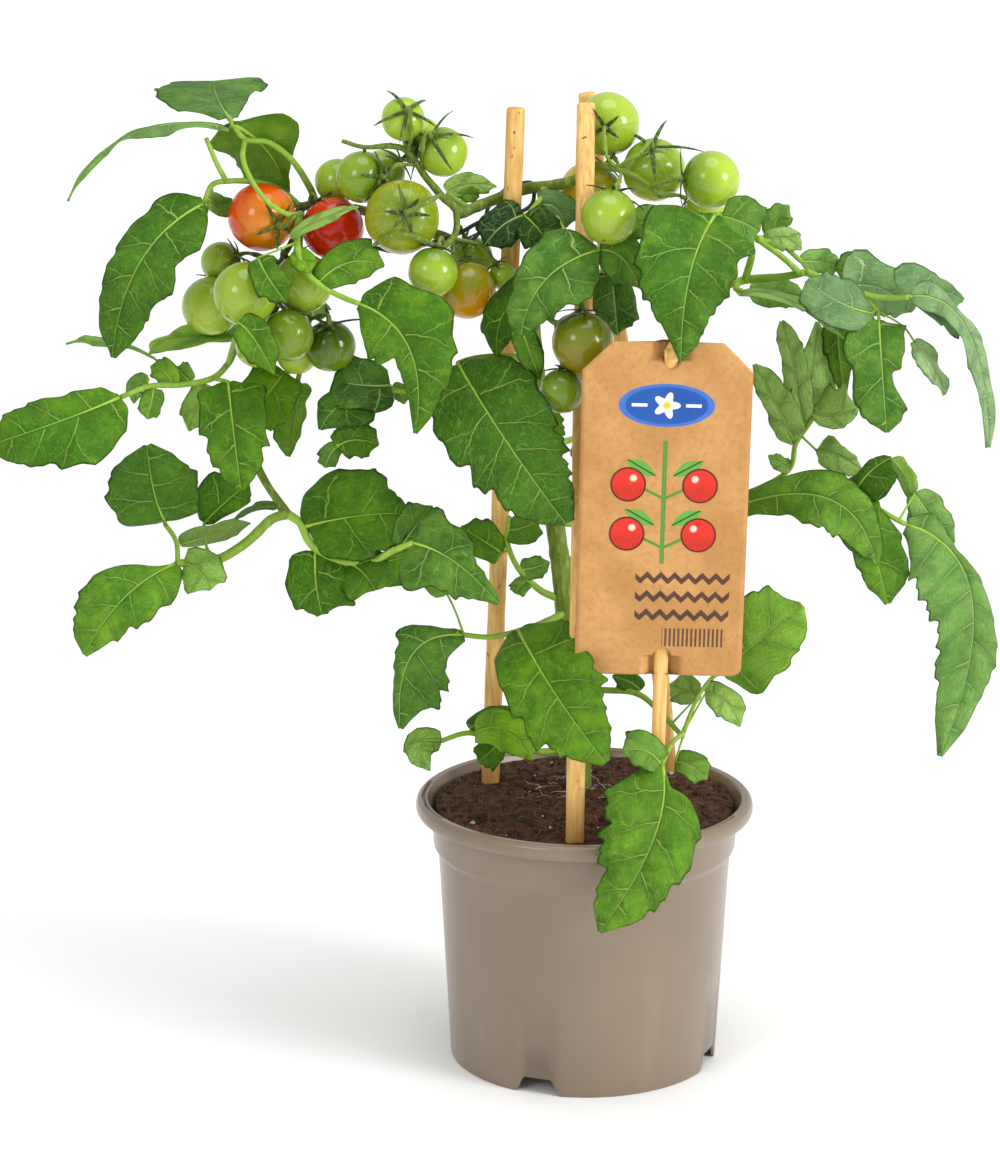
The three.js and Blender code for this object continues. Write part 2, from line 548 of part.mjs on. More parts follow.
const leaves = {
  leaf_front_rim: {
    stalks: [
      [[573, 690, 12], [602, 690, 6], [638, 694, -4], [660, 712, -14], [683, 737, -26]],
      [[683, 733, -26], [671, 745, -44], [662, 764, -54]],
    ],
    leaflets: [
      leaflet([662, 764, -54], [654, 838, -74], [599, 932, -88], 40, [1, 0, 0.9]),
      leaflet([661, 764, -54], [645, 750, -60], [622, 752, -62], 16, [1, 0, 0.8]),
      leaflet([675, 762, -30], [690, 765, -32], [708, 779, -34], 13, [0.8, 0, 1]),
      leaflet([722, 672, -22], [760, 640, -32], [802, 605, -34], 32, [1, 0, 0.3],
        [[683, 733, -26], [698, 697, -24], [712, 678, -22]]),
      leaflet([700, 694, -20], [685, 690, -12], [669, 684, -6], 12),
      leaflet([705, 694, -24], [725, 701, -28], [740, 727, -30], 12, [1, 0, 0.5]),
      leaflet([640, 690, -2], [630, 682, 0], [612, 676, 2], 8),
    ],
  },
  leaf_cane: {
    stalks: [[[566, 612, 10], [545, 622, -6], [518, 631, -26], [490, 637, -24], [464, 635, -22]]],
    leaflets: [
      leaflet([518, 630, -28], [556, 695, -62], [606, 763, -74], 42),
      leaflet([530, 634, -36], [558, 628, -58], [592, 650, -66], 20, [1, 0, 0.5]),
      leaflet([464, 635, -22], [412, 655, -34], [400, 729, -38], 26, [1, -0.1, 0.4]),
      leaflet([447, 594, -16], [438, 575, -12], [430, 560, -8], 14, [1, 0, 0.3],
        [[464, 633, -22], [454, 608, -18]]),
    ],
  },
  leaf_front_right: {
    stalks: [[[745, 280, 0], [752, 250, -8], [742, 226, -18], [728, 216, -26], [715, 214, -32]]],
    leaflets: [
      leaflet([715, 215, -32], [690, 275, -56], [681, 361, -66], 44, [1, 0, 0.4]),
      leaflet([722, 216, -32], [742, 222, -36], [760, 232, -34], 20, [1, 0, 0.4]),
      leaflet([665, 222, -22], [645, 222, -20], [620, 226, -18], 14, [0.8, -0.4, 0.5],
        [[712, 216, -30], [690, 222, -22]]),
    ],
  },
  leaf_centre_left: {
    stalks: [[[300, 214, 0], [297, 240, -22], [304, 268, -30], [320, 285, -32], [342, 297, -34],
      [360, 304, -40]]],
    leaflets: [
      leaflet([360, 304, -40], [410, 350, -56], [415, 434, -58], 36, [1, 0, 0.45]),
      leaflet([372, 308, -42], [412, 306, -52], [455, 316, -50], 18, [1, 0, 0.6]),
      leaflet([372, 316, -42], [370, 338, -46], [374, 362, -48], 17, [1, 0, 0.2]),
      leaflet([320, 281, -32], [350, 262, -30], [384, 265, -32], 17, [1, 0, 0.5]),
      leaflet([290, 236, -22], [325, 218, -26], [358, 206, -30], 9, [0.6, 0, 1]),
      leaflet([258, 258, -30], [270, 280, -38], [287, 303, -38], 13, [1, 0, 0.3],
        [[296, 244, -22], [278, 250, -27]]),
      leaflet([294, 250, -24], [303, 260, -30], [309, 272, -34], 9),
    ],
  },
  leaf_centre: {
    stalks: [[[537, 362, 15], [522, 358, 2], [500, 356, -4], [475, 358, -10], [458, 363, -20]]],
    leaflets: [leaflet([458, 364, -22], [507, 442, -50], [566, 524, -54], 39, [1, -0.1, 0.35])],
  },
  leaf_upper_centre: {
    stalks: [[[552, 200, 8], [560, 225, -12], [575, 243, -22], [598, 250, -28]]],
    leaflets: [
      leaflet([598, 250, -30], [545, 280, -42], [521, 335, -46], 33, [1, -0.2, 0.5]),
      leaflet([540, 290, -20], [505, 310, -26], [496, 358, -28], 20, [0.7, -0.7, 0.1]),
      leaflet([600, 250, -28], [622, 258, -30], [638, 284, -26], 19, [1, 0.2, 0.3]),
      leaflet([518, 320, -38], [529, 350, -37], [540, 380, -36], 10),
      leaflet([612, 276, -14], [615, 305, -16], [618, 336, -14], 17, [0.9, 0, 0.3],
        [[600, 250, -28], [606, 264, -20]]),
    ],
  },
  leaf_lower_middle: {
    stalks: [[[288, 514, -2], [300, 523, -6], [308, 540, -12], [317, 550, -16], [346, 562, -24],
      [373, 561, -28], [393, 551, -32], [413, 543, -36]]],
    leaflets: [
      leaflet([413, 543, -36], [455, 562, -46], [499, 604, -50], 34, [1, 0, 0.4]),
      leaflet([303, 527, -8], [345, 497, -20], [412, 512, -26], 30, [1, 0, 0.6]),
      leaflet([315, 552, -16], [316, 583, -28], [322, 614, -34], 28),
      leaflet([346, 562, -24], [362, 572, -30], [375, 590, -34], 22),
      leaflet([400, 548, -32], [414, 528, -30], [432, 505, -26], 16, [1, 0, 0.5]),
    ],
  },
  leaf_left_reach: {
    stalks: [
      [[262, 370, 16], [240, 345, 8], [228, 364, -4], [213, 378, -12], [180, 385, -18], [150, 386, -24],
        [121, 397, -30]],
      [[228, 364, -4], [233, 345, -22], [238, 324, -38]],
    ],
    leaflets: [
      leaflet([153, 357, -5], [112, 343, -15], [66, 342, -22], 14, [0.15, 0, 1], [[180, 384, -17]]),
      leaflet([230, 336, 2], [190, 336, 4], [150, 342, 8], 22, [0.45, 0, 1]),
      leaflet([120, 397, -30], [60, 421, -42], [-14, 446, -48], 36, [1, 0, 0.4]),
      leaflet([154, 388, -24], [151, 404, -28], [147, 419, -30], 9),
      leaflet([172, 384, -19], [165, 372, -17], [150, 366, -14], 10, [0.8, 0, 0.6]),
      leaflet([146, 386, -23], [137, 385, -18], [134, 404, -12], 8),
      leaflet([190, 382, -16], [182, 373, -13], [176, 366, -10], 8),
      leaflet([228, 382, -20], [233, 427, -34], [241, 490, -40], 29, [1, 0, 0.25]),
      leaflet([205, 384, -12], [198, 405, -12], [189, 430, -10], 12, [-1, 0, 0.3]),
      leaflet([238, 322, -38], [255, 340, -42], [274, 375, -40], 14),
    ],
  },
  leaf_left_hanging: {
    stalks: [[[300, 250, 19], [310, 300, 26], [305, 350, 24], [298, 380, 14]]],
    leaflets: [
      leaflet([285, 372, 6], [268, 394, 0], [246, 425, -6], 24, [1, 0, 0.5], [[300, 372, 17]]),
      leaflet([300, 384, 12], [296, 415, 10], [288, 456, 8], 20, [-1, 0, 0.2]),
    ],
  },
  leaf_lower_left: {
    stalks: [
      [[288, 514, -2], [272, 519, -6], [246, 543, -12], [214, 561, -18], [190, 563, -20], [176, 563, -22]],
      [[178, 563, -22], [176, 541, -18], [165, 524, -14]],
    ],
    leaflets: [
      leaflet([165, 521, -14], [154, 492, -24], [146, 452, -30], 40, [1, 0, -0.1]),
      leaflet([204, 523, -8], [228, 500, -6], [250, 482, 0], 20, [1, 0, 0.2],
        [[214, 561, -18], [206, 545, -12]]),
      leaflet([176, 563, -22], [122, 590, -38], [84, 655, -44], 38, [1, 0, 0.45]),
      leaflet([182, 564, -22], [192, 578, -28], [190, 606, -32], 22),
      leaflet([195, 565, -20], [207, 572, -22], [217, 577, -24], 9),
      leaflet([186, 552, -12], [212, 536, -10], [248, 516, -4], 12, [-0.6, 0, 1]),
      leaflet([277, 507, 0], [255, 508, 2], [232, 520, 4], 8, [0.3, 0, 1]),
    ],
  },
  leaf_far_left: {
    stalks: [[[300, 207, 9], [280, 190, 12], [255, 182, 8], [230, 181, 2], [212, 185, -5], [204, 203, -8]]],
    leaflets: [
      leaflet([204, 203, -8], [140, 262, -28], [112, 358, -30], 32, [1, -0.2, 0.35]),
      leaflet([208, 198, -7], [220, 204, 2], [232, 198, 8], 12, [1, 0, 0.5]),
    ],
  },
  leaf_top_left: {
    stalks: [
      [[316, 204, 17], [309, 186, 8], [290, 158, 2], [268, 142, 0], [245, 139, -4], [231, 121, -4]],
      [[245, 139, -4], [237, 155, -6], [226, 176, -12], [216, 160, -11], [206, 138, -9]],
    ],
    leaflets: [
      leaflet([229, 117, -4], [218, 98, 25], [214, 83, 50], 46, [0.25, 0, 1]),
      leaflet([229, 127, -4], [135, 137, -12], [66, 201, -20], 26, [0.25, 0, 1]),
      leaflet([243, 134, -6], [272, 150, 6], [290, 192, 14], 24, [-1, 0.3, 0.6]),
    ],
  },
  leaf_dark_inner: {
    stalks: [
      [[541, 410, 15], [520, 404, 19], [500, 400, 19], [450, 395, 10], [395, 390, 0], [372, 385, -4]],
      [[372, 388, -4], [350, 425, -8], [337, 447, -12]],
    ],
    leaflets: [
      leaflet([390, 385, -2], [362, 385, -8], [333, 380, -8], 22, [1, 0, 0.4]),
      leaflet([372, 392, -4], [340, 405, -12], [320, 430, -12], 22),
      leaflet([337, 447, -12], [355, 440, -14], [379, 445, -14], 14),
      leaflet([337, 447, -12], [330, 455, -14], [325, 468, -14], 8),
      leaflet([392, 386, 0], [400, 392, 2], [404, 404, 2], 6, [-1, 0, 0.3]),
    ],
  },
  leaf_dark_top: {
    stalks: [[[545, 188, 7], [540, 200, -4], [530, 212, -6]]],
    leaflets: [
      leaflet([524, 215, -6], [503, 225, -12], [484, 246, -14], 16),
      leaflet([524, 215, -6], [535, 225, -14], [549, 243, -16], 17, [0.8, -0.3, 0.6]),
      leaflet([540, 205, -4], [556, 208, -6], [566, 228, -8], 15, [1, 0.1, 0.3]),
    ],
  },
  leaf_right_upper: {
    stalks: [
      [[806, 272, -12], [843, 287, -16], [878, 297, -20], [910, 297, -28]],
      [[860, 292, -18], [878, 311, -18]],
    ],
    leaflets: [
      leaflet([873, 313, -20], [840, 302, -26], [807, 280, -26], 17, [1, -0.3, 0.5]),
      leaflet([849, 287, -16], [880, 288, -12], [914, 310, -12], 24, [1, 0, 0.7]),
      leaflet([850, 280, -10], [852, 262, 4], [862, 250, 12], 11, [0.6, 0, 1]),
      leaflet([910, 297, -28], [935, 290, -24], [964, 300, -20], 27, [1, 0, 0.7]),
      leaflet([912, 296, -28], [968, 330, -34], [990, 448, -38], 20, [0.2, 0.6, 1]),
      leaflet([914, 341, -24], [932, 362, -28], [945, 395, -28], 11, [0.9, 0.5, 0.3],
        [[878, 311, -18], [904, 327, -22]]),
      leaflet([879, 320, -22], [882, 365, -32], [887, 433, -34], 22, [1, 0, 0.2]),
      leaflet([838, 300, 0], [838, 340, 6], [845, 402, 8], 12, [-1, 0, 0.1]),
    ],
  },
  leaf_right_shoot: {
    stalks: [
      [[757, 239, -8], [770, 238, -4], [780, 236, 2]],
      [[758, 240, -8], [780, 244, -8], [802, 262, -8]],
    ],
    leaflets: [
      leaflet([780, 236, 2], [776, 222, 2], [789, 206, 0], 11, [1, 0, 0]),
      leaflet([766, 241, -8], [784, 238, -10], [802, 250, -10], 9),
      leaflet([802, 262, -8], [822, 262, 0], [845, 268, 8], 10),
    ],
  },
  leaf_right_edge: {
    stalks: [
      [[737, 283, -1], [736, 289, -5], [742, 291, -8]],
      [[737, 289, -5], [741, 294, 3], [750, 293, 9]],
    ],
    leaflets: [
      leaflet([742, 291, -8], [795, 303, -14], [848, 341, -16], 20, [0.1, 0.2, 1]),
      leaflet([750, 293, 9], [780, 293, 16], [806, 298, 20], 12),
    ],
  },
  leaf_right_upright: {
    stalks: [[[556, 522, 12], [600, 525, 16], [640, 520, 22], [700, 505, 22], [760, 488, 20],
      [790, 468, 14], [796, 443, 8], [808, 425, 6], [835, 386, 4]]],
    leaflets: [
      leaflet([792, 425, 8], [786, 370, 2], [780, 322, -2], 15, [1, -0.3, 0]),
      leaflet([803, 420, 6], [812, 372, 8], [818, 322, 10], 15, [1, 0.3, 0]),
      leaflet([795, 444, 8], [778, 408, 2], [754, 365, -2], 16, [1, -0.4, 0.2]),
      leaflet([812, 412, 5], [835, 415, 0], [857, 408, -4], 18),
      leaflet([816, 450, 4], [838, 455, -4], [864, 472, -8], 15, [1, 0, 0.4]),
      leaflet([790, 468, 12], [780, 463, 10], [769, 456, 8], 6),
    ],
  },
  leaf_right_low: {
    stalks: [[[560, 560, 10], [640, 560, 24], [700, 545, 16], [748, 514, -6], [800, 503, -16],
      [855, 500, -22], [905, 524, -28]]],
    leaflets: [
      leaflet([740, 505, -14], [832, 500, -30], [877, 566, -34], 28, [1, 0, 0.6]),
      leaflet([855, 498, -24], [872, 545, -32], [888, 604, -34], 22, [1, 0, 0.2]),
      leaflet([852, 498, -22], [868, 474, -26], [892, 457, -22], 18, [1, -0.2, 0.4]),
      leaflet([892, 458, -22], [905, 475, -20], [912, 502, -18], 9, [-0.8, 0.5, 0.5]),
      leaflet([917, 493, -22], [940, 508, -24], [957, 538, -24], 14),
      leaflet([908, 522, -26], [922, 524, -20], [940, 535, -14], 10),
      leaflet([907, 524, -28], [972, 600, -40], [940, 757, -52], 36, [1, -0.1, 0.35]),
    ],
  },
  leaf_inner_small: {
    stalks: [[[562, 600, 10], [540, 590, 6], [518, 568, 0], [507, 540, -2], [509, 516, -2]]],
    leaflets: [
      leaflet([507, 530, -2], [522, 528, -4], [539, 520, -2], 13),
      leaflet([520, 570, 0], [533, 568, 4], [550, 562, 8], 9),
      leaflet([527, 580, 2], [520, 587, 0], [515, 594, 0], 7),
      leaflet([502, 553, -2], [482, 540, -6], [461, 527, -8], 15),
    ],
  },
  leaf_soil_left: {
    stalks: [[[576, 720, 12], [562, 745, 8], [548, 752, 4], [533, 750, 0], [500, 741, -8],
      [467, 733, -14], [441, 741, -18]]],
    leaflets: [
      leaflet([475, 733, -14], [505, 730, -22], [533, 761, -24], 18, [0.8, 0, 0.8]),
      leaflet([500, 742, -6], [490, 752, -2], [478, 762, -2], 12),
      leaflet([520, 748, -2], [523, 738, 2], [528, 726, 6], 12),
      leaflet([441, 741, -18], [420, 745, -24], [430, 771, -26], 12, [1, 0, 0.4]),
      leaflet([470, 728, -10], [500, 714, -4], [532, 722, 2], 12, [0.4, 0, 1]),
    ],
  },
  leaf_behind_top: {
    stalks: [[[470, 209, 2], [458, 202, 8], [448, 193, 14]]],
    leaflets: [
      leaflet([448, 192, 14], [470, 184, 18], [497, 186, 22], 12, [0.6, 0, 0.8]),
      leaflet([460, 198, 12], [470, 195, 12], [480, 197, 14], 6),
    ],
  },
  leaf_back_right: {
    stalks: [[[545, 450, 15], [570, 440, 50], [610, 430, 82], [650, 440, 100]]],
    leaflets: [
      leaflet([650, 440, 100], [690, 470, 112], [712, 540, 110], 36, [-0.2, 0.3, 1]),
      leaflet([620, 432, 85], [640, 395, 92], [672, 370, 96], 26, [0.2, 0.3, 1]),
      leaflet([600, 432, 74], [602, 470, 86], [612, 520, 92], 26, [-0.5, -0.2, 0.8]),
      leaflet([640, 438, 96], [650, 480, 104], [655, 540, 106], 24, [-0.4, 0, 0.8]),
    ],
  },
  leaf_back_centre: {
    stalks: [[[537, 370, 17], [530, 385, 45], [520, 400, 70], [512, 420, 85]]],
    leaflets: [
      leaflet([512, 420, 85], [505, 440, 95], [512, 480, 100], 26, [-0.6, 0, 0.8]),
      leaflet([525, 392, 58], [500, 400, 72], [480, 410, 78], 20, [-0.4, 0, 1]),
      leaflet([520, 402, 72], [540, 420, 88], [552, 450, 92], 20, [-0.4, 0, 1]),
    ],
  },
  leaf_back_left: {
    stalks: [[[294, 298, 20], [290, 285, 45], [280, 290, 65], [268, 300, 78]]],
    leaflets: [
      leaflet([268, 300, 78], [250, 318, 86], [240, 345, 88], 24, [-0.5, -0.3, 0.8]),
      leaflet([285, 287, 55], [305, 300, 66], [322, 322, 70], 22, [-0.4, 0.3, 0.9]),
      leaflet([277, 292, 68], [262, 285, 76], [240, 283, 80], 20, [-0.3, -0.3, 1]),
    ],
  },
};
const darkLeaves = ['leaf_dark_inner', 'leaf_dark_top', 'leaf_left_hanging'];

function leafSolid({ stalks, leaflets }, grow) {
  const routes = stalks.map((path) => path.map(seen));
  const parts = routes.map((route, i) => tube(route, i ? 1.1 : 1.6, 1.05, grow));
  for (const item of leaflets) {
    const base = seen(item.base);
    const via = item.route.map(seen);
    const start = nearestOn(routes, via[0] ?? base);
    const own = [start, ...via.filter((point) => point.distanceTo(start) > 2), base];
    if (start.distanceTo(base) > 0.4) parts.push(tube(own, 1, 0.9, grow, 3));
    parts.push(bladeSolid(item, grow));
  }
  return join(parts);
}

// ---- assembly ----------------------------------------------------------------------------------------
place('pot', 'pot', potSolid);
for (const [name, points] of Object.entries(canes)) {
  place(name, 'cane', (grow) => caneSolid(points, grow));
}
place('label_stick', 'cane', stickSolid);
place('label_card', 'card', cardSolid);
for (const [name, fruit] of Object.entries(fruits)) {
  place(name, fruit.finish, (grow) => fruitSolid(fruit, grow));
}
place('main_stem', 'stem', vineSolid);
place('soil', 'soil', soilSolid);
place('tie', 'tie', (grow) => tube(tiePath.map(seen), TIE_RADIUS, TIE_RADIUS, grow));
for (const [name, truss] of Object.entries(trusses)) {
  place(name, 'stem', (grow) => trussSolid(truss, grow));
}
for (const [name, leaf] of Object.entries(leaves)) {
  place(name, darkLeaves.includes(name) ? 'leafDark' : 'leaf', (grow) => leafSolid(leaf, grow));
}

export default group;
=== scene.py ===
# Cherry tomato plant in a nursery pot, with canes, a card label, leaves and fruit.
from math import radians, tan

import bpy
import numpy as np
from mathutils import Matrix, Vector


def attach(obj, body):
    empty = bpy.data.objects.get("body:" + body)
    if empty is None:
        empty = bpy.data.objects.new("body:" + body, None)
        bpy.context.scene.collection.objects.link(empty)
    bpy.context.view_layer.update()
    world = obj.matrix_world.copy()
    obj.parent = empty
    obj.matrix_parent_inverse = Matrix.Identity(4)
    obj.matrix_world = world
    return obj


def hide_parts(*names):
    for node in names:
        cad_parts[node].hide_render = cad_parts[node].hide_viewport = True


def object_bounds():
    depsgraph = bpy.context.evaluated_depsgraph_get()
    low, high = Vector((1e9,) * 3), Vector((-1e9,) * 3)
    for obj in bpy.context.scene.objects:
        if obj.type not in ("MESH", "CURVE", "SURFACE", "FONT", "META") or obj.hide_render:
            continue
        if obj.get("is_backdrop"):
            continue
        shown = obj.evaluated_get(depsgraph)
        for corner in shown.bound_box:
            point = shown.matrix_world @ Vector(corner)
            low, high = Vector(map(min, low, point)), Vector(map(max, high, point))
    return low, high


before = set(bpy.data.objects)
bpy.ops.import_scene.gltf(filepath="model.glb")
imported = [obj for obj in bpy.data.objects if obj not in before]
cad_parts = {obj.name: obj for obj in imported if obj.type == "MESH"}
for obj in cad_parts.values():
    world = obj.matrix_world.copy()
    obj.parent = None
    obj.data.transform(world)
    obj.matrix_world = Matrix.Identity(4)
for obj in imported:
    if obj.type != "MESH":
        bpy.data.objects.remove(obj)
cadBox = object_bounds()
print("frame loaded:", len(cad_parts), "nodes")

mm = 0.001

# The plant is laid out from one viewpoint. A spot is (across, down, depth): the first two are places in a
# picture of 1000 by 1168, and depth is millimetres behind (+) or in front of (-) the pot's axis.
view = {"place": (-35, -1400, 557), "pitch": 14.23, "focal": 3534, "picture": (1000, 1168), "sensor": 36}


# A ray leaves the viewpoint through each picture place and stops at its depth; gives millimetres, (..., 3).
def seen(spots):
    spots = np.asarray(spots, float)
    pitch = radians(view["pitch"])
    right = (spots[..., 0] - view["picture"][0] / 2) / view["focal"]
    drop = (spots[..., 1] - view["picture"][1] / 2) / view["focal"]
    ray = np.stack([right, np.cos(pitch) - drop * np.sin(pitch), -np.sin(pitch) - drop * np.cos(pitch)], -1)
    eye = np.array(view["place"], float)
    return eye + ray * ((spots[..., 2] - eye[1]) / ray[..., 1])[..., None]


def makeCamera():
    data = bpy.data.cameras.new("camera")
    data.sensor_width = view["sensor"]
    data.lens = view["focal"] * view["sensor"] / max(view["picture"])
    data.clip_start, data.clip_end = 0.1, 100
    camera = bpy.data.objects.new("camera", data)
    camera.location = [value * mm for value in view["place"]]
    camera.rotation_euler = (radians(90 - view["pitch"]), 0, 0)
    bpy.context.collection.objects.link(camera)
    bpy.context.scene.camera = camera


makeCamera()


def unit(vectors):
    vectors = np.asarray(vectors, float)
    return vectors / np.maximum(np.linalg.norm(vectors, axis=-1, keepdims=True), 1e-9)


def smoothStep(value, low, high):
    part = np.clip((value - low) / (high - low), 0, 1)
    return part * part * (3 - 2 * part)


def circle(count):
    return np.linspace(0, 2 * np.pi, count, endpoint=False)


# A parabola's places: it leaves start towards pull and reaches end from pull.
def parabola(start, pull, end, share):
    return start * (1 - share) ** 2 + 2 * pull * share * (1 - share) + end * share ** 2


# A soft random surface: a lattice of seeded random heights, blended smoothly between its corners.
def lumps(x, y, cell, seed):
    size = 64
    lattice = np.random.default_rng(seed).uniform(-1, 1, (size, size))
    u, v = np.asarray(x) / cell, np.asarray(y) / cell
    i, j = np.floor(u).astype(int), np.floor(v).astype(int)
    a, b = smoothStep(u - i, 0, 1), smoothStep(v - j, 0, 1)
    corner = lambda di, dj: lattice[(i + di) % size, (j + dj) % size]
    low = corner(0, 0) * (1 - a) + corner(1, 0) * a
    high = corner(0, 1) * (1 - a) + corner(1, 1) * a
    return low * (1 - b) + high * b


# A smooth curve through every point: one cubic for each gap, its end slopes weighed by the root of the
# distance between the points (a centripetal spline); gives count places evenly spaced along it.
def smoothPath(points, count, stepsInGap=24):
    points = np.asarray(points, float)
    ends = [2 * points[0] - points[1]], [2 * points[-1] - points[-2]]
    full = np.concatenate([ends[0], points, ends[1]])
    gap = np.maximum(np.linalg.norm(np.diff(full, axis=0), axis=1), 1e-6)[:, None] ** 0.5
    before, here, after, later = full[:-3], full[1:-2], full[2:-1], full[3:]
    g0, g1, g2 = gap[:-2], gap[1:-1], gap[2:]
    slopeIn = ((here - before) / g0 - (after - before) / (g0 + g1) + (after - here) / g1) * g1
    slopeOut = ((after - here) / g1 - (later - here) / (g1 + g2) + (later - after) / g2) * g1
    fine = np.linspace(0, len(points) - 1, stepsInGap * (len(points) - 1) + 1)
    part = np.minimum(fine.astype(int), len(points) - 2)
    w = (fine - part)[:, None]
    curve = here[part] + slopeIn[part] * w + (-3 * here + 3 * after - 2 * slopeIn - slopeOut)[part] * w ** 2
    curve = curve + (2 * here - 2 * after + slopeIn + slopeOut)[part] * w ** 3
    run = np.concatenate([[0], np.cumsum(np.linalg.norm(np.diff(curve, axis=0), axis=1))])
    even = np.linspace(0, run[-1], count)
    return np.stack([np.interp(even, run, curve[:, k]) for k in range(3)], 1)


# A shell is a dictionary of arrays: points (n, 3) in millimetres, faces (m, 4) with -1 for a missing
# fourth corner, and one value for each point or each face corner under its own name.
def shell(points, faces, **values):
    return {"points": np.asarray(points, float).reshape(-1, 3), "faces": faces, **values}


# Rings of points (rings, around, 3) joined to their neighbours, with a fan to the middle of each end ring.
def closedShell(rings, **values):
    count, around = rings.shape[:2]
    index = np.arange(count * around).reshape(count, around)
    nextOne = np.roll(index, -1, 1)
    walls = np.stack([index[:-1], nextOne[:-1], nextOne[1:], index[1:]], -1).reshape(-1, 4)
    foot, top = count * around, count * around + 1
    blank = np.full(around, -1)
    footFan = np.stack([nextOne[0], index[0], np.full(around, foot), blank], -1)
    topFan = np.stack([index[-1], nextOne[-1], np.full(around, top), blank], -1)
    points = np.concatenate([rings.reshape(-1, 3), [rings[0].mean(0), rings[-1].mean(0)]])
    kept = {}
    for name, value in values.items():
        value = np.broadcast_to(np.asarray(value, float), (count, around))
        kept[name] = np.concatenate([value.reshape(-1), [value[0].mean(), value[-1].mean()]])
    return shell(points, facedOut(points, np.concatenate([walls, footFan, topFan])), **kept)


# Turns a closed shell's faces round if the volume that they enclose comes out negative.
def facedOut(points, faces):
    a, b, c = points[faces[:, 0]], points[faces[:, 1]], points[faces[:, 2]]
    d = points[np.where(faces[:, 3] < 0, faces[:, 2], faces[:, 3])]
    volume = (a * np.cross(b, c)).sum() + (a * np.cross(c, d)).sum()
    if volume > 0:
        return faces
    turned = faces[:, ::-1].copy()
    threeSided = faces[:, 3] < 0
    turned[threeSided] = np.roll(turned[threeSided], -1, 1)
    return turned


def joinShells(shells):
    starts = np.cumsum([0] + [len(item["points"]) for item in shells[:-1]])
    joined = {name: np.concatenate([item[name] for item in shells]) for name in shells[0]}
    moved = [np.where(item["faces"] < 0, -1, item["faces"] + start) for item, start in zip(shells, starts)]
    return {**joined, "faces": np.concatenate(moved)}


# Puts a shell into a new object. maps: names of pairs of values that become the piece's UV maps.
def makePiece(name, body, nodes, slotName, finish, maps=(), flat=False):
    mesh = bpy.data.meshes.new(name)
    faces = body["faces"]
    sides = np.where(faces[:, 3] < 0, 3, 4)
    corners = faces.reshape(-1)
    corners = corners[corners >= 0].astype(np.int32)
    mesh.vertices.add(len(body["points"]))
    mesh.vertices.foreach_set("co", (body["points"] * mm).astype(np.float32).reshape(-1))
    mesh.loops.add(len(corners))
    mesh.loops.foreach_set("vertex_index", corners)
    mesh.polygons.add(len(faces))
    mesh.polygons.foreach_set("loop_start", np.concatenate([[0], np.cumsum(sides)[:-1]]).astype(np.int32))
    mesh.polygons.foreach_set("use_smooth", np.full(len(faces), not flat))
    for title in maps:
        layer = mesh.uv_layers.new(name=title)
        layer.data.foreach_set("uv", body[title][corners].astype(np.float32).reshape(-1))
    for title, value in body.items():
        if title not in ("points", "faces", *maps):
            mesh.attributes.new(title, "FLOAT", "POINT").data.foreach_set("value", value.astype(np.float32))
    mesh.update(calc_edges=True)
    mesh.validate()
    mesh.materials.append(finish)
    piece = bpy.data.objects.new(name, mesh)
    bpy.context.collection.objects.link(piece)
    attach(piece, "root")
    if nodes:
        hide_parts(*nodes)


# Directions across a path at each of its points: square to the path, and turned as little as can be,
# by starting from the axis that the whole path runs along least.
def across(path, upper=None):
    along = unit(np.gradient(path, axis=0))
    if upper is None:
        upper = np.linalg.eigh(along.T @ along)[1][:, 0]
    lift = unit(upper - along * (along @ upper)[:, None])
    return np.cross(along, lift), lift


# A stem: a circle carried along a smooth path, its radius following a list of radii, with a slight wobble.
def stem(points, radii, around=8, spacing=1.6, wobble=0.05, **values):
    points = np.asarray(points, float)
    length = np.linalg.norm(np.diff(points, axis=0), axis=1).sum()
    path = smoothPath(points, max(5, int(length / spacing)))
    side, lift = across(path)
    share = np.linspace(0, 1, len(path))
    radius = np.interp(share, np.linspace(0, 1, len(radii)), radii)
    turn = circle(around)
    swell = 1 + wobble * lumps(share[:, None] * length, turn * 2 + points[0, 0], 3.1, 5)
    reach = radius[:, None, None] * swell[..., None]
    outward = np.cos(turn)[:, None] * side[:, None] + np.sin(turn)[:, None] * lift[:, None]
    return closedShell(path[:, None] + reach * outward, **values)


# A wire is one socket of a material, on which Python sums add Math nodes.
class Wire:
    def __init__(self, finish, socket):
        self.finish, self.socket = finish, socket

    def maths(self, operation, first, second=0.5):
        return self.finish.add("ShaderNodeMath", {"operation": operation}, {0: first, 1: second})

    def __add__(self, other): return self.maths("ADD", self, other)
    def __radd__(self, other): return self.maths("ADD", other, self)
    def __sub__(self, other): return self.maths("SUBTRACT", self, other)
    def __rsub__(self, other): return self.maths("SUBTRACT", other, self)
    def __mul__(self, other): return self.maths("MULTIPLY", self, other)
    def __rmul__(self, other): return self.maths("MULTIPLY", other, self)
    def __truediv__(self, other): return self.maths("DIVIDE", self, other)
    def __rtruediv__(self, other): return self.maths("DIVIDE", other, self)
    def __pow__(self, other): return self.maths("POWER", self, other)
    def __abs__(self): return self.maths("ABSOLUTE", self)
    def above(self, other): return self.maths("MAXIMUM", self, other)
    def part(self): return self.maths("FRACT", self)

    # 0 under low, 1 over high, and a soft step between them.
    def step(self, low, high):
        return self.finish.add("ShaderNodeMapRange", {"interpolation_type": "SMOOTHSTEP"},
                               {"Value": self, "From Min": low, "From Max": high})


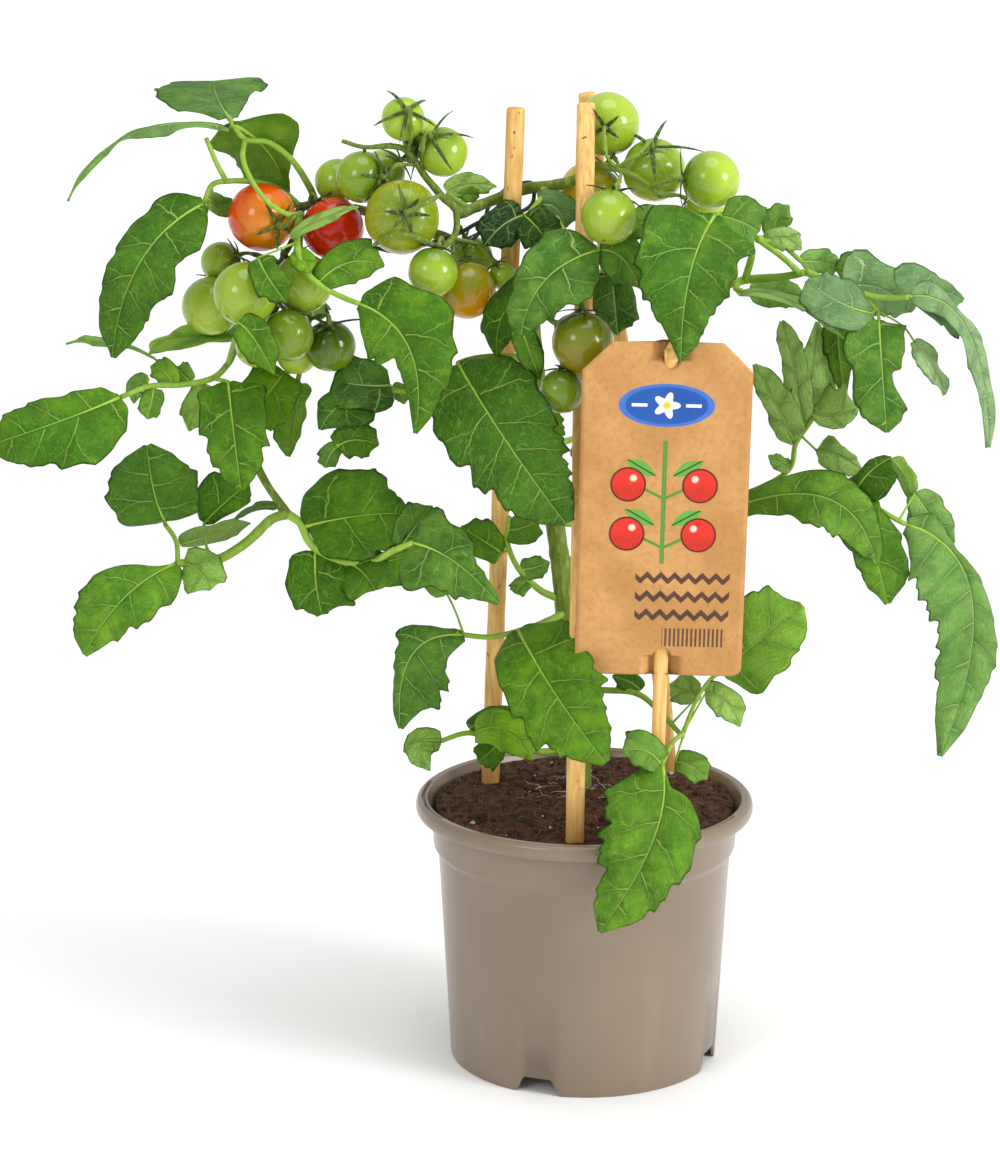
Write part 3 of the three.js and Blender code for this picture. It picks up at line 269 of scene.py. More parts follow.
# An sRGB colour of 0 to 255 as the linear values that a shader takes; a wire stays as it is.
def tint(colour):
    if isinstance(colour, Wire):
        return colour
    value = np.array(colour) / 255
    linear = np.where(value < 0.04045, value / 12.92, ((value + 0.055) / 1.055) ** 2.4)
    return (*linear.tolist(), 1)


class Finish:
    def __init__(self, name, **constants):
        self.material = bpy.data.materials.new(name)
        self.material.use_nodes = True
        self.tree = self.material.node_tree
        self.shader = self.tree.nodes["Principled BSDF"]
        for socket, value in constants.items():
            self.shader.inputs[socket.replace("_", " ")].default_value = value

    # Any node: its settings first, then its sockets' values or wires, by name or by number.
    def add(self, kind, settings=(), sockets=(), output=0):
        node = self.tree.nodes.new(kind)
        for name, value in dict(settings).items():
            if name == "stops":
                ramp = node.color_ramp
                while len(ramp.elements) < len(value):
                    ramp.elements.new(1)
                for element, (place, colour) in zip(ramp.elements, value):
                    element.position, element.color = place, tint(colour)
            else:
                setattr(node, name, value)
        for name, value in dict(sockets).items():
            if isinstance(value, Wire):
                self.tree.links.new(value.socket, node.inputs[name])
            else:
                node.inputs[name].default_value = value
        return Wire(self, node.outputs[output])

    def mix(self, share, first, second, how="MIX"):
        settings = {"data_type": "RGBA", "blend_type": how}
        return self.add("ShaderNodeMix", settings, {0: share, 6: tint(first), 7: tint(second)}, 2)

    # Lays coats of (share, colour) over a colour, one after another.
    def coat(self, body, *coats):
        for share, colour in coats:
            body = self.mix(share, body, colour)
        return body

    def ramp(self, share, *stops):
        return self.add("ShaderNodeValToRGB", {"stops": stops}, {0: share})

    # Soft random values, about 0.5, with lumps of the given size in metres.
    def noise(self, size, detail=2, stretch=(1, 1, 1), where=None):
        if where is None:
            place = self.add("ShaderNodeTexCoord", output="Object")
            where = self.add("ShaderNodeMapping", {}, {"Vector": place, "Scale": stretch})
        return self.add("ShaderNodeTexNoise", {}, {"Vector": where, "Scale": 1 / size, "Detail": detail})

    # The distance to the nearest border of a net of random cells, each about 1 across.
    def net(self, where):
        sockets = {"Vector": where, "Scale": 1}
        return self.add("ShaderNodeTexVoronoi", {"feature": "DISTANCE_TO_EDGE"}, sockets)

    def value(self, name):
        return self.add("ShaderNodeAttribute", {"attribute_name": name}, output="Fac")

    # Both numbers of one of the piece's UV maps.
    def pair(self, name):
        first = self.add("ShaderNodeSeparateXYZ", {}, {0: self.add("ShaderNodeUVMap", {"uv_map": name})})
        return first, Wire(self, first.socket.node.outputs[1])

    def join(self, x, y, z):
        return self.add("ShaderNodeCombineXYZ", {}, {0: x, 1: y, 2: z})

    def paint(self, colour, roughness=None, height=None, depth=0, strength=0):
        self.tree.links.new(colour.socket, self.shader.inputs["Base Color"])
        if roughness is not None:
            self.tree.links.new(roughness.socket, self.shader.inputs["Roughness"])
        if height is not None:
            sockets = {"Height": height, "Distance": depth, "Strength": strength}
            bump = self.add("ShaderNodeBump", {}, sockets)
            self.tree.links.new(bump.socket, self.shader.inputs["Normal"])
        return self.material

    # Lets some light through a thin piece.
    def letThrough(self, share, colour):
        glow = self.add("ShaderNodeBsdfTranslucent", {}, {"Color": tint(colour)})
        solid = Wire(self, self.shader.outputs[0])
        both = self.add("ShaderNodeMixShader", {}, {0: share, 1: solid, 2: glow})
        self.tree.links.new(both.socket, self.tree.nodes["Material Output"].inputs["Surface"])
        return self.material


# Pot: taupe plastic, satin, with faint upright flow marks and a few scuffs.
def potFinish():
    finish = Finish("potPlastic", Specular_IOR_Level=0.5, Coat_Weight=0.4, Coat_Roughness=0.16)
    cloud, flow = finish.noise(0.05, 2), finish.noise(0.008, 3, (1, 1, 0.05))
    grain = finish.noise(0.0006, 1)
    scuff = finish.noise(0.014, 6, (0.5, 0.5, 2.4)).step(0.68, 0.78)
    body = finish.mix(cloud.step(0.3, 0.75), (122, 104, 84), (128, 110, 90))
    body = finish.coat(body, (flow.step(0.55, 0.8) * 0.12, (162, 145, 126)),
                       (scuff * 0.12, (178, 163, 147)))
    rough = 0.3 + 0.06 * cloud + 0.1 * scuff + 0.05 * grain
    return finish.paint(body, rough, grain * 0.5 + cloud * 0.2, 0.00005, 0.4)


# Peat: dark brown crumbs with paler fibres; the tone value makes single crumbs lighter.
def soilFinish():
    finish = Finish("pottingSoil", Specular_IOR_Level=0.25)
    coarse, fine = finish.noise(0.005, 6), finish.noise(0.0011, 3)
    threads = finish.noise(0.0016, 3, (1, 0.16, 1)).step(0.6, 0.72)
    body = finish.mix(coarse.step(0.35, 0.65), (42, 26, 16), (88, 56, 36))
    body = finish.coat(body, (fine.step(0.5, 0.75) * 0.55, (128, 88, 58)), (threads * 0.4, (134, 100, 72)),
                       (finish.value("tone"), (206, 196, 176)))
    return finish.paint(body, 0.82 + 0.15 * fine, coarse + fine * 0.6, 0.0012, 0.9)


# Cane: pale tan split wood. The tone value darkens and mottles one cane more than another.
def caneFinish():
    finish = Finish("caneWood", Specular_IOR_Level=0.35)
    tone = finish.value("tone")
    grain, bands = finish.noise(0.0012, 4, (1, 1, 0.03)), finish.noise(0.006, 3, (1, 1, 0.22))
    specks = finish.noise(0.0016, 2, (1, 1, 0.35)).step(0.64, 0.72)
    body = finish.mix(grain.step(0.3, 0.7), (210, 162, 88), (236, 196, 124))
    body = finish.coat(body, (bands.step(0.42, 0.75) * (0.2 + 0.7 * tone), (182, 126, 46)),
                       (specks * (0.15 + 0.8 * tone), (112, 70, 26)),
                       (finish.value("foot") * 0.6, (166, 114, 42)))
    return finish.paint(body, 0.48 + 0.25 * grain, grain + bands * 0.4, 0.00025, 0.7)


# Black wire tie in a soft plastic skin.
def tieFinish():
    finish = Finish("tieBlack", Specular_IOR_Level=0.5)
    ridge = finish.noise(0.0012, 2)
    body = finish.mix(ridge, (22, 22, 26), (52, 52, 58))
    return finish.paint(body, 0.36 + 0.2 * ridge, ridge, 0.0001, 0.5)


# Stems: downy green, browner where the tone value is low and yellower where it is high.
def stemFinish():
    finish = Finish("stemGreen", Specular_IOR_Level=0.25, Sheen_Weight=0.12, Sheen_Roughness=0.4)
    tone = finish.value("tone")
    streak = finish.noise(0.0016, 3, (1, 1, 0.25))
    patch, down = finish.noise(0.012, 2), finish.noise(0.0004, 1)
    body = finish.ramp(tone, (0, (38, 54, 12)), (0.35, (98, 120, 30)), (0.6, (126, 164, 48)),
                       (1, (168, 206, 76)))
    body = finish.coat(body, (streak.step(0.45, 0.75) * 0.35, (172, 204, 96)),
                       (patch.step(0.58, 0.75) * 0.3, (70, 82, 20)),
                       (down.step(0.58, 0.8) * 0.3 * tone.step(0.05, 0.3), (204, 222, 142)))
    return finish.paint(body, 0.5 + 0.2 * down, streak + down * 0.8, 0.0002, 0.7)


# The colours of a leaf's upper side from dark to bright, for each material fresh and bluish; those of its
# paler lower side; and what the finer marks are painted with, among them a painted shade along the side
# veins.
# The fourth colour of the upper and lower sides is painted light: brighter than the leaf's own green, it is
# reached by leaflets of tone above 1.
leafTints = {
    "leafGreen": {"warm": ((24, 58, 2), (72, 122, 10), (136, 190, 26), (172, 218, 72)),
                  "cool": ((26, 54, 24), (70, 112, 58), (134, 172, 112), (182, 208, 160))},
    "leafDeep": {"warm": ((12, 40, 2), (40, 88, 8), (110, 160, 20), (156, 204, 60)),
                 "cool": ((16, 40, 20), (44, 82, 42), (112, 150, 92), (164, 194, 142))},
    "below": ((56, 96, 6), (108, 150, 34), (156, 198, 80), (190, 224, 130)), "belowCool": (170, 190, 130),
    "vein": (166, 204, 84), "veinCool": (176, 204, 148), "veinBelow": (180, 208, 100),
    "beside": (28, 70, 4), "grain": (30, 66, 6), "margin": (30, 40, 14), "glow": (126, 186, 24),
}


# Leaves. veinMap holds the place along the margin in side veins and the distance from the midrib in
# millimetres; bladeMap the share of the way from base to tip and from midrib to margin. Each side vein
# forks twice on its way out: a fork starts on the vein and drifts off it towards the margin. The three
# values: tone, 0 dark to 1.5 bright, where tones above 1 are painted light that brightens a leaflet beyond
# its own green; chill, how bluish; under, 1 on the lower side. A dark band along each side vein is painted
# shade.
def leafFinish(name):
    finish = Finish(name, Specular_IOR_Level=0.22)
    vein, away = finish.pair("veinMap")
    along, out = finish.pair("bladeMap")
    tone, under, chill = finish.value("tone"), finish.value("under"), finish.value("chill")
    tints, own = leafTints, leafTints[name]
    vein = vein + (finish.noise(0.007, 2) - 0.5) * 0.22
    gap = 14  # millimetres between side veins, about

    def line(phase, wide):
        return 1 - (abs((phase + 0.5).part() - 0.5) * gap / wide).step(0.35, 1.2)

    fade = 1 - out.step(0.75, 1) * 0.75
    sideVein = line(vein, 0.42 * (1.25 - out)) * fade
    forkLow = line(vein + out.step(0.2, 1.05) * 0.42, 0.24) * out.step(0.2, 0.34) * fade
    forkHigh = line(vein - out.step(0.5, 1.1) * 0.34, 0.2) * out.step(0.5, 0.62) * fade
    rib = 1 - (abs(away) / (0.72 - 0.5 * along)).step(0.4, 1.05)
    mesh = finish.net(finish.join(vein * 5, away * 0.66, tone * 3))
    net = (1 - mesh.step(0.015, 0.09)) * 0.27
    veins = rib.above(sideVein * 0.9).above(forkLow * 0.6).above(forkHigh * 0.5).above(net)
    cloud, grain, patches = finish.noise(0.012, 3), finish.noise(0.0008, 2), finish.noise(0.0035, 3)
    # tones up to 1.5 are spread over the ramp; above 1 they reach its painted-light colour, brighter than
    # the leaf's own green
    shade = (tone + (cloud - 0.5) * 0.8 + (patches - 0.5) * 0.5) * 0.667
    warm, cool, below = (finish.ramp(shade, *zip((0, 0.333, 0.667, 1), colours))
                         for colours in (own["warm"], own["cool"], tints["below"]))
    # painted shade: a dark band along each side vein, where the blade dips into the vein's groove
    beside = 1 - (abs((vein + 0.5).part() - 0.5) * gap).step(0.4, 3)
    body = finish.coat(finish.mix(chill, warm, cool), (grain.step(0.4, 0.8) * 0.2, tints["grain"]),
                       (beside * 0.32, tints["beside"]), (out.step(0.94, 1) * 0.6, tints["margin"]))
    upperSide = finish.mix(veins * 0.8, body, finish.mix(chill, tints["vein"], tints["veinCool"]))
    pale = finish.mix(chill, below, tints["belowCool"])
    lowerSide = finish.mix(veins * 0.5, pale, tints["veinBelow"])
    relief = grain * 0.35 + finish.noise(0.003, 2) * 0.5 - veins * (1 - 2 * under)
    rough = 0.42 + 0.14 * grain + 0.16 * under - 0.08 * rib
    finish.paint(finish.mix(under, upperSide, lowerSide), rough, relief, 0.0009, 0.9)
    return finish.letThrough(0.3, tints["glow"])


# The skin at the blossom end, the middle and the stalk end, and its flecks.
skins = {
    "green": ((174, 198, 64), (152, 184, 38), (96, 134, 8), (204, 222, 118)),
    "turning": ((208, 172, 30), (158, 156, 16), (104, 132, 12), (214, 206, 90)),
    "orange": ((210, 58, 2), (206, 142, 4), (138, 138, 8), (222, 128, 16)),
    "red": ((214, 40, 8), (204, 26, 6), (196, 56, 8), (238, 96, 36)),
}


# Fruit skin. The pole value runs from -1 at the blossom end to 1 at the stalk; turnMap is the place round
# the fruit. tone darkens the skin, and shift moves its colours towards the blossom end.
def fruitFinish(skin):
    title = "fruit" + skin.capitalize()
    finish = Finish(title, Specular_IOR_Level=0.25, Coat_Weight=0.45, Coat_Roughness=0.06)
    blossomEnd, middle, stalkEnd, fleck = skins[skin]
    pole, tone, shift = finish.value("pole"), finish.value("tone"), finish.value("shift")
    cloud = finish.noise(0.011, 3)
    turn, down = finish.pair("turnMap")
    streak = finish.noise(1, 3, where=finish.join(turn * 60, down * 3.2, tone * 9))
    flecks = finish.noise(0.00075, 2).step(0.63, 0.72)
    place = pole * 0.5 + 0.5 + shift + (cloud - 0.5) * 0.5
    body = finish.ramp(place, (0, blossomEnd), (0.5, middle), (0.98, stalkEnd))
    body = finish.coat(body, (streak.step(0.5, 0.75) * 0.35, fleck), (flecks * 0.35, fleck))
    body = finish.mix(tone, body, (128, 148, 20), "MULTIPLY")
    scar = 1 - (pole + 1).step(0.002, 0.006)
    body = finish.mix(scar * 0.8, body, (110, 88, 40))
    return finish.paint(body, 0.16 + 0.14 * cloud, streak * 0.4 + flecks * 0.3, 0.00004, 0.5)


finishes = {
    "pot": potFinish(), "soil": soilFinish(), "cane": caneFinish(), "tie": tieFinish(),
    "stem": stemFinish(), "leaf": leafFinish("leafGreen"), "leafDark": leafFinish("leafDeep"),
    **{skin: fruitFinish(skin) for skin in skins},
}
print("finishes made:", len(finishes))


# Millimetres. bandFoot and bandTop are (beyond the base's radius, height); notches are angles, and slots
# (angle, half width), in degrees.
pot = {
    "height": 112, "rim": 70, "base": 55.7, "wall": 1.2, "floor": 7, "pad": 12, "around": 288, "bend": 0.9,
    "bandFoot": (4.9, 89), "bandTop": (6.9, 91.5), "shoulder": 7.8, "rimHeight": 6.5,
    "notches": (-21, 69, 159, 249), "notchHeight": 7, "notchFoot": 20, "notchTop": 11,
    "slots": ((-84, 22), (54, 9), (166, 22)), "slotDepth": 2.4, "slotFrom": 66.1, "slotTo": 67.5,
}


# Rounds the corners of a profile: each one becomes a short parabola between points set back from it.
def rounded(points, reach, steps=5):
    points = np.asarray(points, float)
    before, here, after = points[:-2], points[1:-1], points[2:]
    back = np.minimum(reach, 0.45 * np.linalg.norm(here - before, axis=1))[:, None]
    on = np.minimum(reach, 0.45 * np.linalg.norm(after - here, axis=1))[:, None]
    start, end = here + unit(before - here) * back, here + unit(after - here) * on
    w = np.linspace(0, 1, steps)[:, None, None]
    arcs = parabola(start, here, end, w)
    return np.concatenate([points[:1], arcs.transpose(1, 0, 2).reshape(-1, 2), points[-1:]])


# A profile of (radius, height) turned about the pot's axis; angle 0 is the front.
def turned(profile, around):
    angle = circle(around)
    radius = np.asarray(profile)[:, :1]
    height = np.broadcast_to(np.asarray(profile)[:, 1:], (len(profile), around))
    return np.stack([radius * np.sin(angle), -radius * np.cos(angle), height], -1), angle


# How far each angle lies inside an arc of the given middle and half width, in degrees.
def inside(angle, middle, half):
    off = (np.degrees(angle) - middle + 180) % 360 - 180
    return half - np.abs(off)


def makePot():
    base, wall, floor, height, rim = (pot[name] for name in ("base", "wall", "floor", "height", "rim"))
    footOut, footUp = pot["bandFoot"]
    topOut, topUp = pot["bandTop"]
    shoulder, under = base + pot["shoulder"], height - pot["rimHeight"]
    profile = [
        (0.1, 0), (pot["pad"], 0), (pot["pad"], floor), (base - wall, floor), (base - wall, 0),
        (base, 0), (base + 2.4, 45), (base + footOut, footUp), (base + topOut, topUp), (shoulder, under),
        (rim - 0.9, under - 0.1), (rim, height - 4.2), (rim - 0.6, height - 1.2), (rim - 2.2, height),
        (pot["slotTo"], height - 0.05), (pot["slotFrom"], height - 0.15), (rim - 4.8, height - 0.3),
        (rim - 5.6, height - 2), (shoulder - wall, under), (base + topOut - wall, topUp + 0.8),
        (base + footOut - wall, footUp + 0.6), (base - wall + 0.5, floor + wall), (0.1, floor + wall),
    ]
    rings, angle = turned(rounded(profile, pot["bend"]), pot["around"])
    radius = np.hypot(rings[..., 0], rings[..., 1])
    # the skirt's lower edge is lifted to each notch's outline
    reach = 30
    arc = np.radians(np.max([inside(angle, middle, reach) for middle in pot["notches"]], axis=0)) * base
    fromMiddle = np.radians(reach) * base - arc
    slope = (pot["notchFoot"] - pot["notchTop"]) / 2
    lift = pot["notchHeight"] * smoothStep(pot["notchFoot"] / 2 - fromMiddle, 0, slope)
    skirt = (radius > base - wall - 0.2) & (rings[..., 2] < pot["notchHeight"] + 0.4)
    rings[..., 2] = np.where(skirt, np.maximum(rings[..., 2], lift), rings[..., 2])
    # narrow slots in the top of the rim
    window = np.max([smoothStep(inside(angle, *slot), 0, 0.8) for slot in pot["slots"]], axis=0)
    groove = (radius > pot["slotFrom"]) & (radius < pot["slotTo"]) & (rings[..., 2] > height - 1)
    rings[..., 2] -= groove * window * pot["slotDepth"]
    makePiece("potShell", closedShell(rings), ["pot"], "pot_plastic", finishes["pot"])


soil = {
    "bottom": 8.6, "edge": 109.4, "middle": 111, "slope": 0.012, "around": 220, "rings": 70, "relief": 1.7,
    "reach": 60, "crumbs": 900, "crumbReach": 60.5, "crumbSize": (0.5, 1.9), "white": 0.025,
    "fibres": 150, "fibreReach": 43, "fibreLength": (4, 14), "seed": 11,
}
trunkFoot = seen((578, 748, 12))[:2]


# The height of the soil at a place: a low dome, with lumps in four sizes.
def soilHeight(x, y):
    share = np.clip(np.hypot(x, y) / soil["reach"], 0, 1) ** 2
    bumps = lumps(x, y, 9, 1) * 0.5 + lumps(x, y, 3.4, 2) * 0.4 + lumps(x, y, 1.5, 3) * 0.33
    bumps = bumps + np.abs(lumps(x, y, 0.9, 4)) * 0.3
    dome = soil["middle"] + (soil["edge"] - soil["middle"]) * share + soil["slope"] * y
    return dome + soil["relief"] * bumps * (1 - 0.3 * share) - 0.5


def makeSoil():
    base, bottom = pot["base"], soil["bottom"]
    sides = rounded([(0.1, bottom), (base - 1.1, bottom), (base + 3.1, 88.4), (base + 5.2, 92.6),
                     (base + 6.1, 106)], 0.8)
    radius = np.linspace(base + 6, 0.2, soil["rings"])
    profile = np.concatenate([sides, np.stack([radius, np.full(len(radius), soil["edge"])], 1)])
    rings, _ = turned(profile, soil["around"])
    top = rings[len(sides):]
    top[..., 2] = soilHeight(top[..., 0], top[..., 1])
    makePiece("soilBody", closedShell(rings, tone=0), ["soil"], "potting_soil", finishes["soil"])


# Crumbs: octahedra with their corners pushed in and out at random, scattered over the soil, a few of them
# white. Fibres: short bent threads lying on it, one in five of them a pale root thread near the trunk.
def makeCrumbs():
    random = np.random.default_rng(soil["seed"])
    corners = np.array([[1, 0, 0], [0, 1, 0], [-1, 0, 0], [0, -1, 0], [0, 0, 1], [0, 0, -1]], float)
    sides = np.array([[0, 1, 4], [1, 2, 4], [2, 3, 4], [3, 0, 4],
                      [1, 0, 5], [2, 1, 5], [3, 2, 5], [0, 3, 5]])
    count = soil["crumbs"]
    radius = soil["crumbReach"] * random.uniform(0, 1, count) ** 0.5
    angle = random.uniform(0, 2 * np.pi, count)
    x, y = radius * np.cos(angle), radius * np.sin(angle)
    size = random.uniform(*soil["crumbSize"], count) * random.uniform(0.5, 1, count)
    shape = corners * random.uniform(0.55, 1.1, (count, 6, 3)) * size[:, None, None]
    middle = np.stack([x, y, soilHeight(x, y) + size * 0.15], 1)
    points = (middle[:, None] + shape).reshape(-1, 3)
    faces = (sides[None] + 6 * np.arange(count)[:, None, None]).reshape(-1, 3)
    faces = np.concatenate([faces, np.full((len(faces), 1), -1)], 1)
    white = (random.uniform(0, 1, count) > 1 - soil["white"]) * 0.75
    parts = [shell(points, faces, tone=np.repeat(white, 6))]
    reach = soil["fibreReach"]
    for k in range(soil["fibres"]):
        nearTrunk = k % 5 == 0
        spot = trunkFoot + random.normal(0, 9, 2) if nearTrunk else random.uniform(-reach, reach, 2)
        heading, bend = random.uniform(0, 2 * np.pi), random.uniform(-0.7, 0.7)
        length = random.uniform(*soil["fibreLength"]) * (0.8 if nearTrunk else 0.6)
        steps = np.linspace(0, 1, 5)
        way = np.stack([np.cos(heading + bend * steps), np.sin(heading + bend * steps)], 1)
        place = spot + length * steps[:, None] * way
        rise = 0.25 + (0.5 if nearTrunk else 0.25) * random.uniform(0, 2.4, 5)
        path = np.column_stack([place, soilHeight(place[:, 0], place[:, 1]) + rise])
        thick = 0.2 if nearTrunk else 0.16
        tone = random.uniform(0.5, 0.9) if nearTrunk else random.uniform(0, 0.3)
        parts.append(stem(path, (thick, thick * 0.5), around=3, spacing=2.5, wobble=0, tone=tone))
    makePiece("soilCrumbs", joinShells(parts), [], "potting_soil", finishes["soil"], flat=True)


makePot()
makeSoil()
makeCrumbs()
print("pot and soil made")


canes = {
    "cane_left": {"path": [(-40.5, 28, 45), (-39, 24, 110), seen((516, 108, 0))], "tone": 0.85},
    "cane_front": {"path": [(-5, -51.6, 60), (-5, -52, 110), seen((580, 560, -37)), seen((586, 103, -2))],
                   "tone": 0.2},
    "cane_back": {"path": [(34.5, 38.5, 60), (36.5, 41.5, 110), seen((587, 93, 30))], "tone": 0.45},
}
cane = {"width": 7.4, "thick": 7.4 * 0.96, "squareness": 3.6, "around": 28, "spacing": 3, "soilLevel": 109}
stick = {"foot": seen((655, 835, -46)), "top": seen((672, 341, -57)), "bottom": 70, "width": 5.6,
         "thick": 2.6, "squareness": 3, "tone": 0.02}
# the end of a cane and of the stick: places in millimetres from the end, and the share of the width there
caneEnd = np.array([-1.6, -0.9, -0.3, 0]), np.array([1, 0.985, 0.93, 0.82])
stickEnd = np.array([-7, -5, -3.4, -2, -1, -0.4, 0]), np.array([1, 0.95, 0.84, 0.68, 0.5, 0.32, 0.12])


# A cane: a rounded square (a superellipse) carried up a smooth path, a little uneven as split wood is, its
# top edge eased over its last places. The foot value stains it where it leaves the soil.
def caneShell(path, size, tone, end):
    count = int(np.linalg.norm(path[-1] - path[0]) / cane["spacing"])
    line = smoothPath(path, count)
    line = np.concatenate([line[:-1], line[-1] + np.outer(end[0], unit(line[-1] - line[-2]))])
    scale = np.concatenate([np.ones(count - 1), end[1]])
    side, lift = across(line, np.array([0.0, -1.0, 0.0]))
    turn = circle(cane["around"]) + 0.01
    power = 2 / size["squareness"]
    x = np.sign(np.cos(turn)) * np.abs(np.cos(turn)) ** power * size["width"] / 2
    y = np.sign(np.sin(turn)) * np.abs(np.sin(turn)) ** power * size["thick"] / 2
    run = np.linspace(0, count * cane["spacing"], len(line))[:, None]
    uneven = 1 + 0.035 * lumps(run, turn + path[0][0], 17, 6) + 0.012 * lumps(run * 0.3, turn * 9, 2, 7)
    section = x[:, None] * side[:, None] + y[:, None] * lift[:, None]
    rings = line[:, None] + section * (uneven * scale[:, None])[..., None]
    foot = 1 - smoothStep(line[:, 2:] - cane["soilLevel"], 3, 24) + 0 * turn
    return closedShell(rings, tone=tone, foot=foot)


def makeCanes():
    for name, one in canes.items():
        body = caneShell(np.array(one["path"], float), cane, one["tone"], caneEnd)
        makePiece(name.replace("_", "Wood_"), body, [name], "cane_wood", finishes["cane"])
    rise = (stick["bottom"] - stick["foot"][2]) / (stick["top"][2] - stick["foot"][2])
    path = np.array([stick["foot"] + (stick["top"] - stick["foot"]) * share for share in (rise, 0.5, 1)])
    body = caneShell(path, stick, stick["tone"], stickEnd)
    makePiece("labelStick", body, ["label_stick"], "cane_wood", finishes["cane"])


# rows: the card's heights in bands of (from, to, count), closest where the slits are.
card = {
    "width": 66, "height": 135, "thick": 0.5, "corner": 11.5, "round": 4, "weave": 2.3, "slitLow": 11,
    "slitHigh": 128, "arch": 3.4, "slitHalf": 3.6, "shift": -1.3, "columns": 64,
    "rows": ((0, 4, 7), (4, 18, 40), (18, 120, 36), (120, 134, 40), (134, 135, 5)),
}


# Half the card's width at a height: straight sides, cut top corners and rounded bottom corners.
def cardHalf(v):
    bottom = card["round"]
    low = bottom - np.sqrt(np.clip(bottom ** 2 - np.clip(bottom - v, 0, None) ** 2, 0, None))
    high = np.clip(v - (card["height"] - card["corner"]), 0, None)
    return card["width"] / 2 - low - high


# The card is a sheet in front of its stick, with a narrow tongue pressed behind the stick under the lower
# slit and above the upper one; a slit is where the tongue starts, in an arch.
def makeCard():
    v = np.unique(np.round(np.concatenate([np.linspace(*row) for row in card["rows"]]), 3))[:, None]
    x = np.linspace(-1, 1, card["columns"])
    x = 0.6 * x + 0.4 * x ** 3
    u = cardHalf(v) * x
    fromStick = np.abs(u + card["shift"])
    arch = card["arch"] * (1 - np.clip(fromStick / card["slitHalf"], 0, 1) ** 2)
    low = 1 - smoothStep(v - arch - card["slitLow"] + card["arch"], -0.6, 0.6)
    high = smoothStep(v + arch - card["slitHigh"], -0.6, 0.6)
    tongue = (1 - smoothStep(fromStick, 3.2, 8.5)) * np.maximum(low, high)
    warp = 0.5 * np.sin(v / 40) * x + 0.35 * lumps(u + 50, v, 30, 8)
    lift = card["weave"] * (1 - 2 * tongue) + warp
    up = unit(stick["top"] - stick["foot"])
    right = unit(np.array([1, 0, 0]) - up * up[0])
    out = np.cross(right, up)
    foot = stick["top"] - up * card["height"]
    flat = foot + (u + card["shift"])[..., None] * right + v[..., None] * up
    front = flat + (lift + card["thick"] / 2)[..., None] * out
    back = flat + (lift - card["thick"] / 2)[..., None] * out
    rings = np.concatenate([front, back[:, ::-1]], 1)[:, ::-1]
    body = closedShell(rings, front=np.concatenate([np.ones(len(x)), np.zeros(len(x))])[::-1])
    place = np.stack([u, np.broadcast_to(v, u.shape)], -1)
    places = np.concatenate([place, place[:, ::-1]], 1)[:, ::-1].reshape(-1, 2)
    body["cardMap"] = np.concatenate([places, [[0, 0], [0, card["height"]]]])
    makePiece("labelCard", body, ["label_card"], "label_board", cardFinish(), maps=("cardMap",))


# Where the pattern stands on the card, in millimetres up from its foot or out from its middle line.
artwork = {
    "badge": 110, "badgeHalf": 8.6, "fieldHalf": 7.4, "squash": 0.46, "berryRow": 48, "berryStep": 20,
    "berryOut": 14, "lineRow": 22, "lineStep": 7.6, "zigzag": 5.4, "tick": 1.7,
}
inks = {
    "edge": (28, 104, 190), "field": (20, 72, 150), "white": (240, 240, 232), "heart": (236, 190, 40),
    "twig": (84, 134, 52), "leaf": (96, 158, 62), "crease": (46, 78, 34), "outline": (70, 28, 20),
    "berry": (214, 48, 34), "shade": (96, 26, 18), "glint": (250, 200, 180), "line": (66, 42, 36),
    "tick": (74, 52, 44),
}


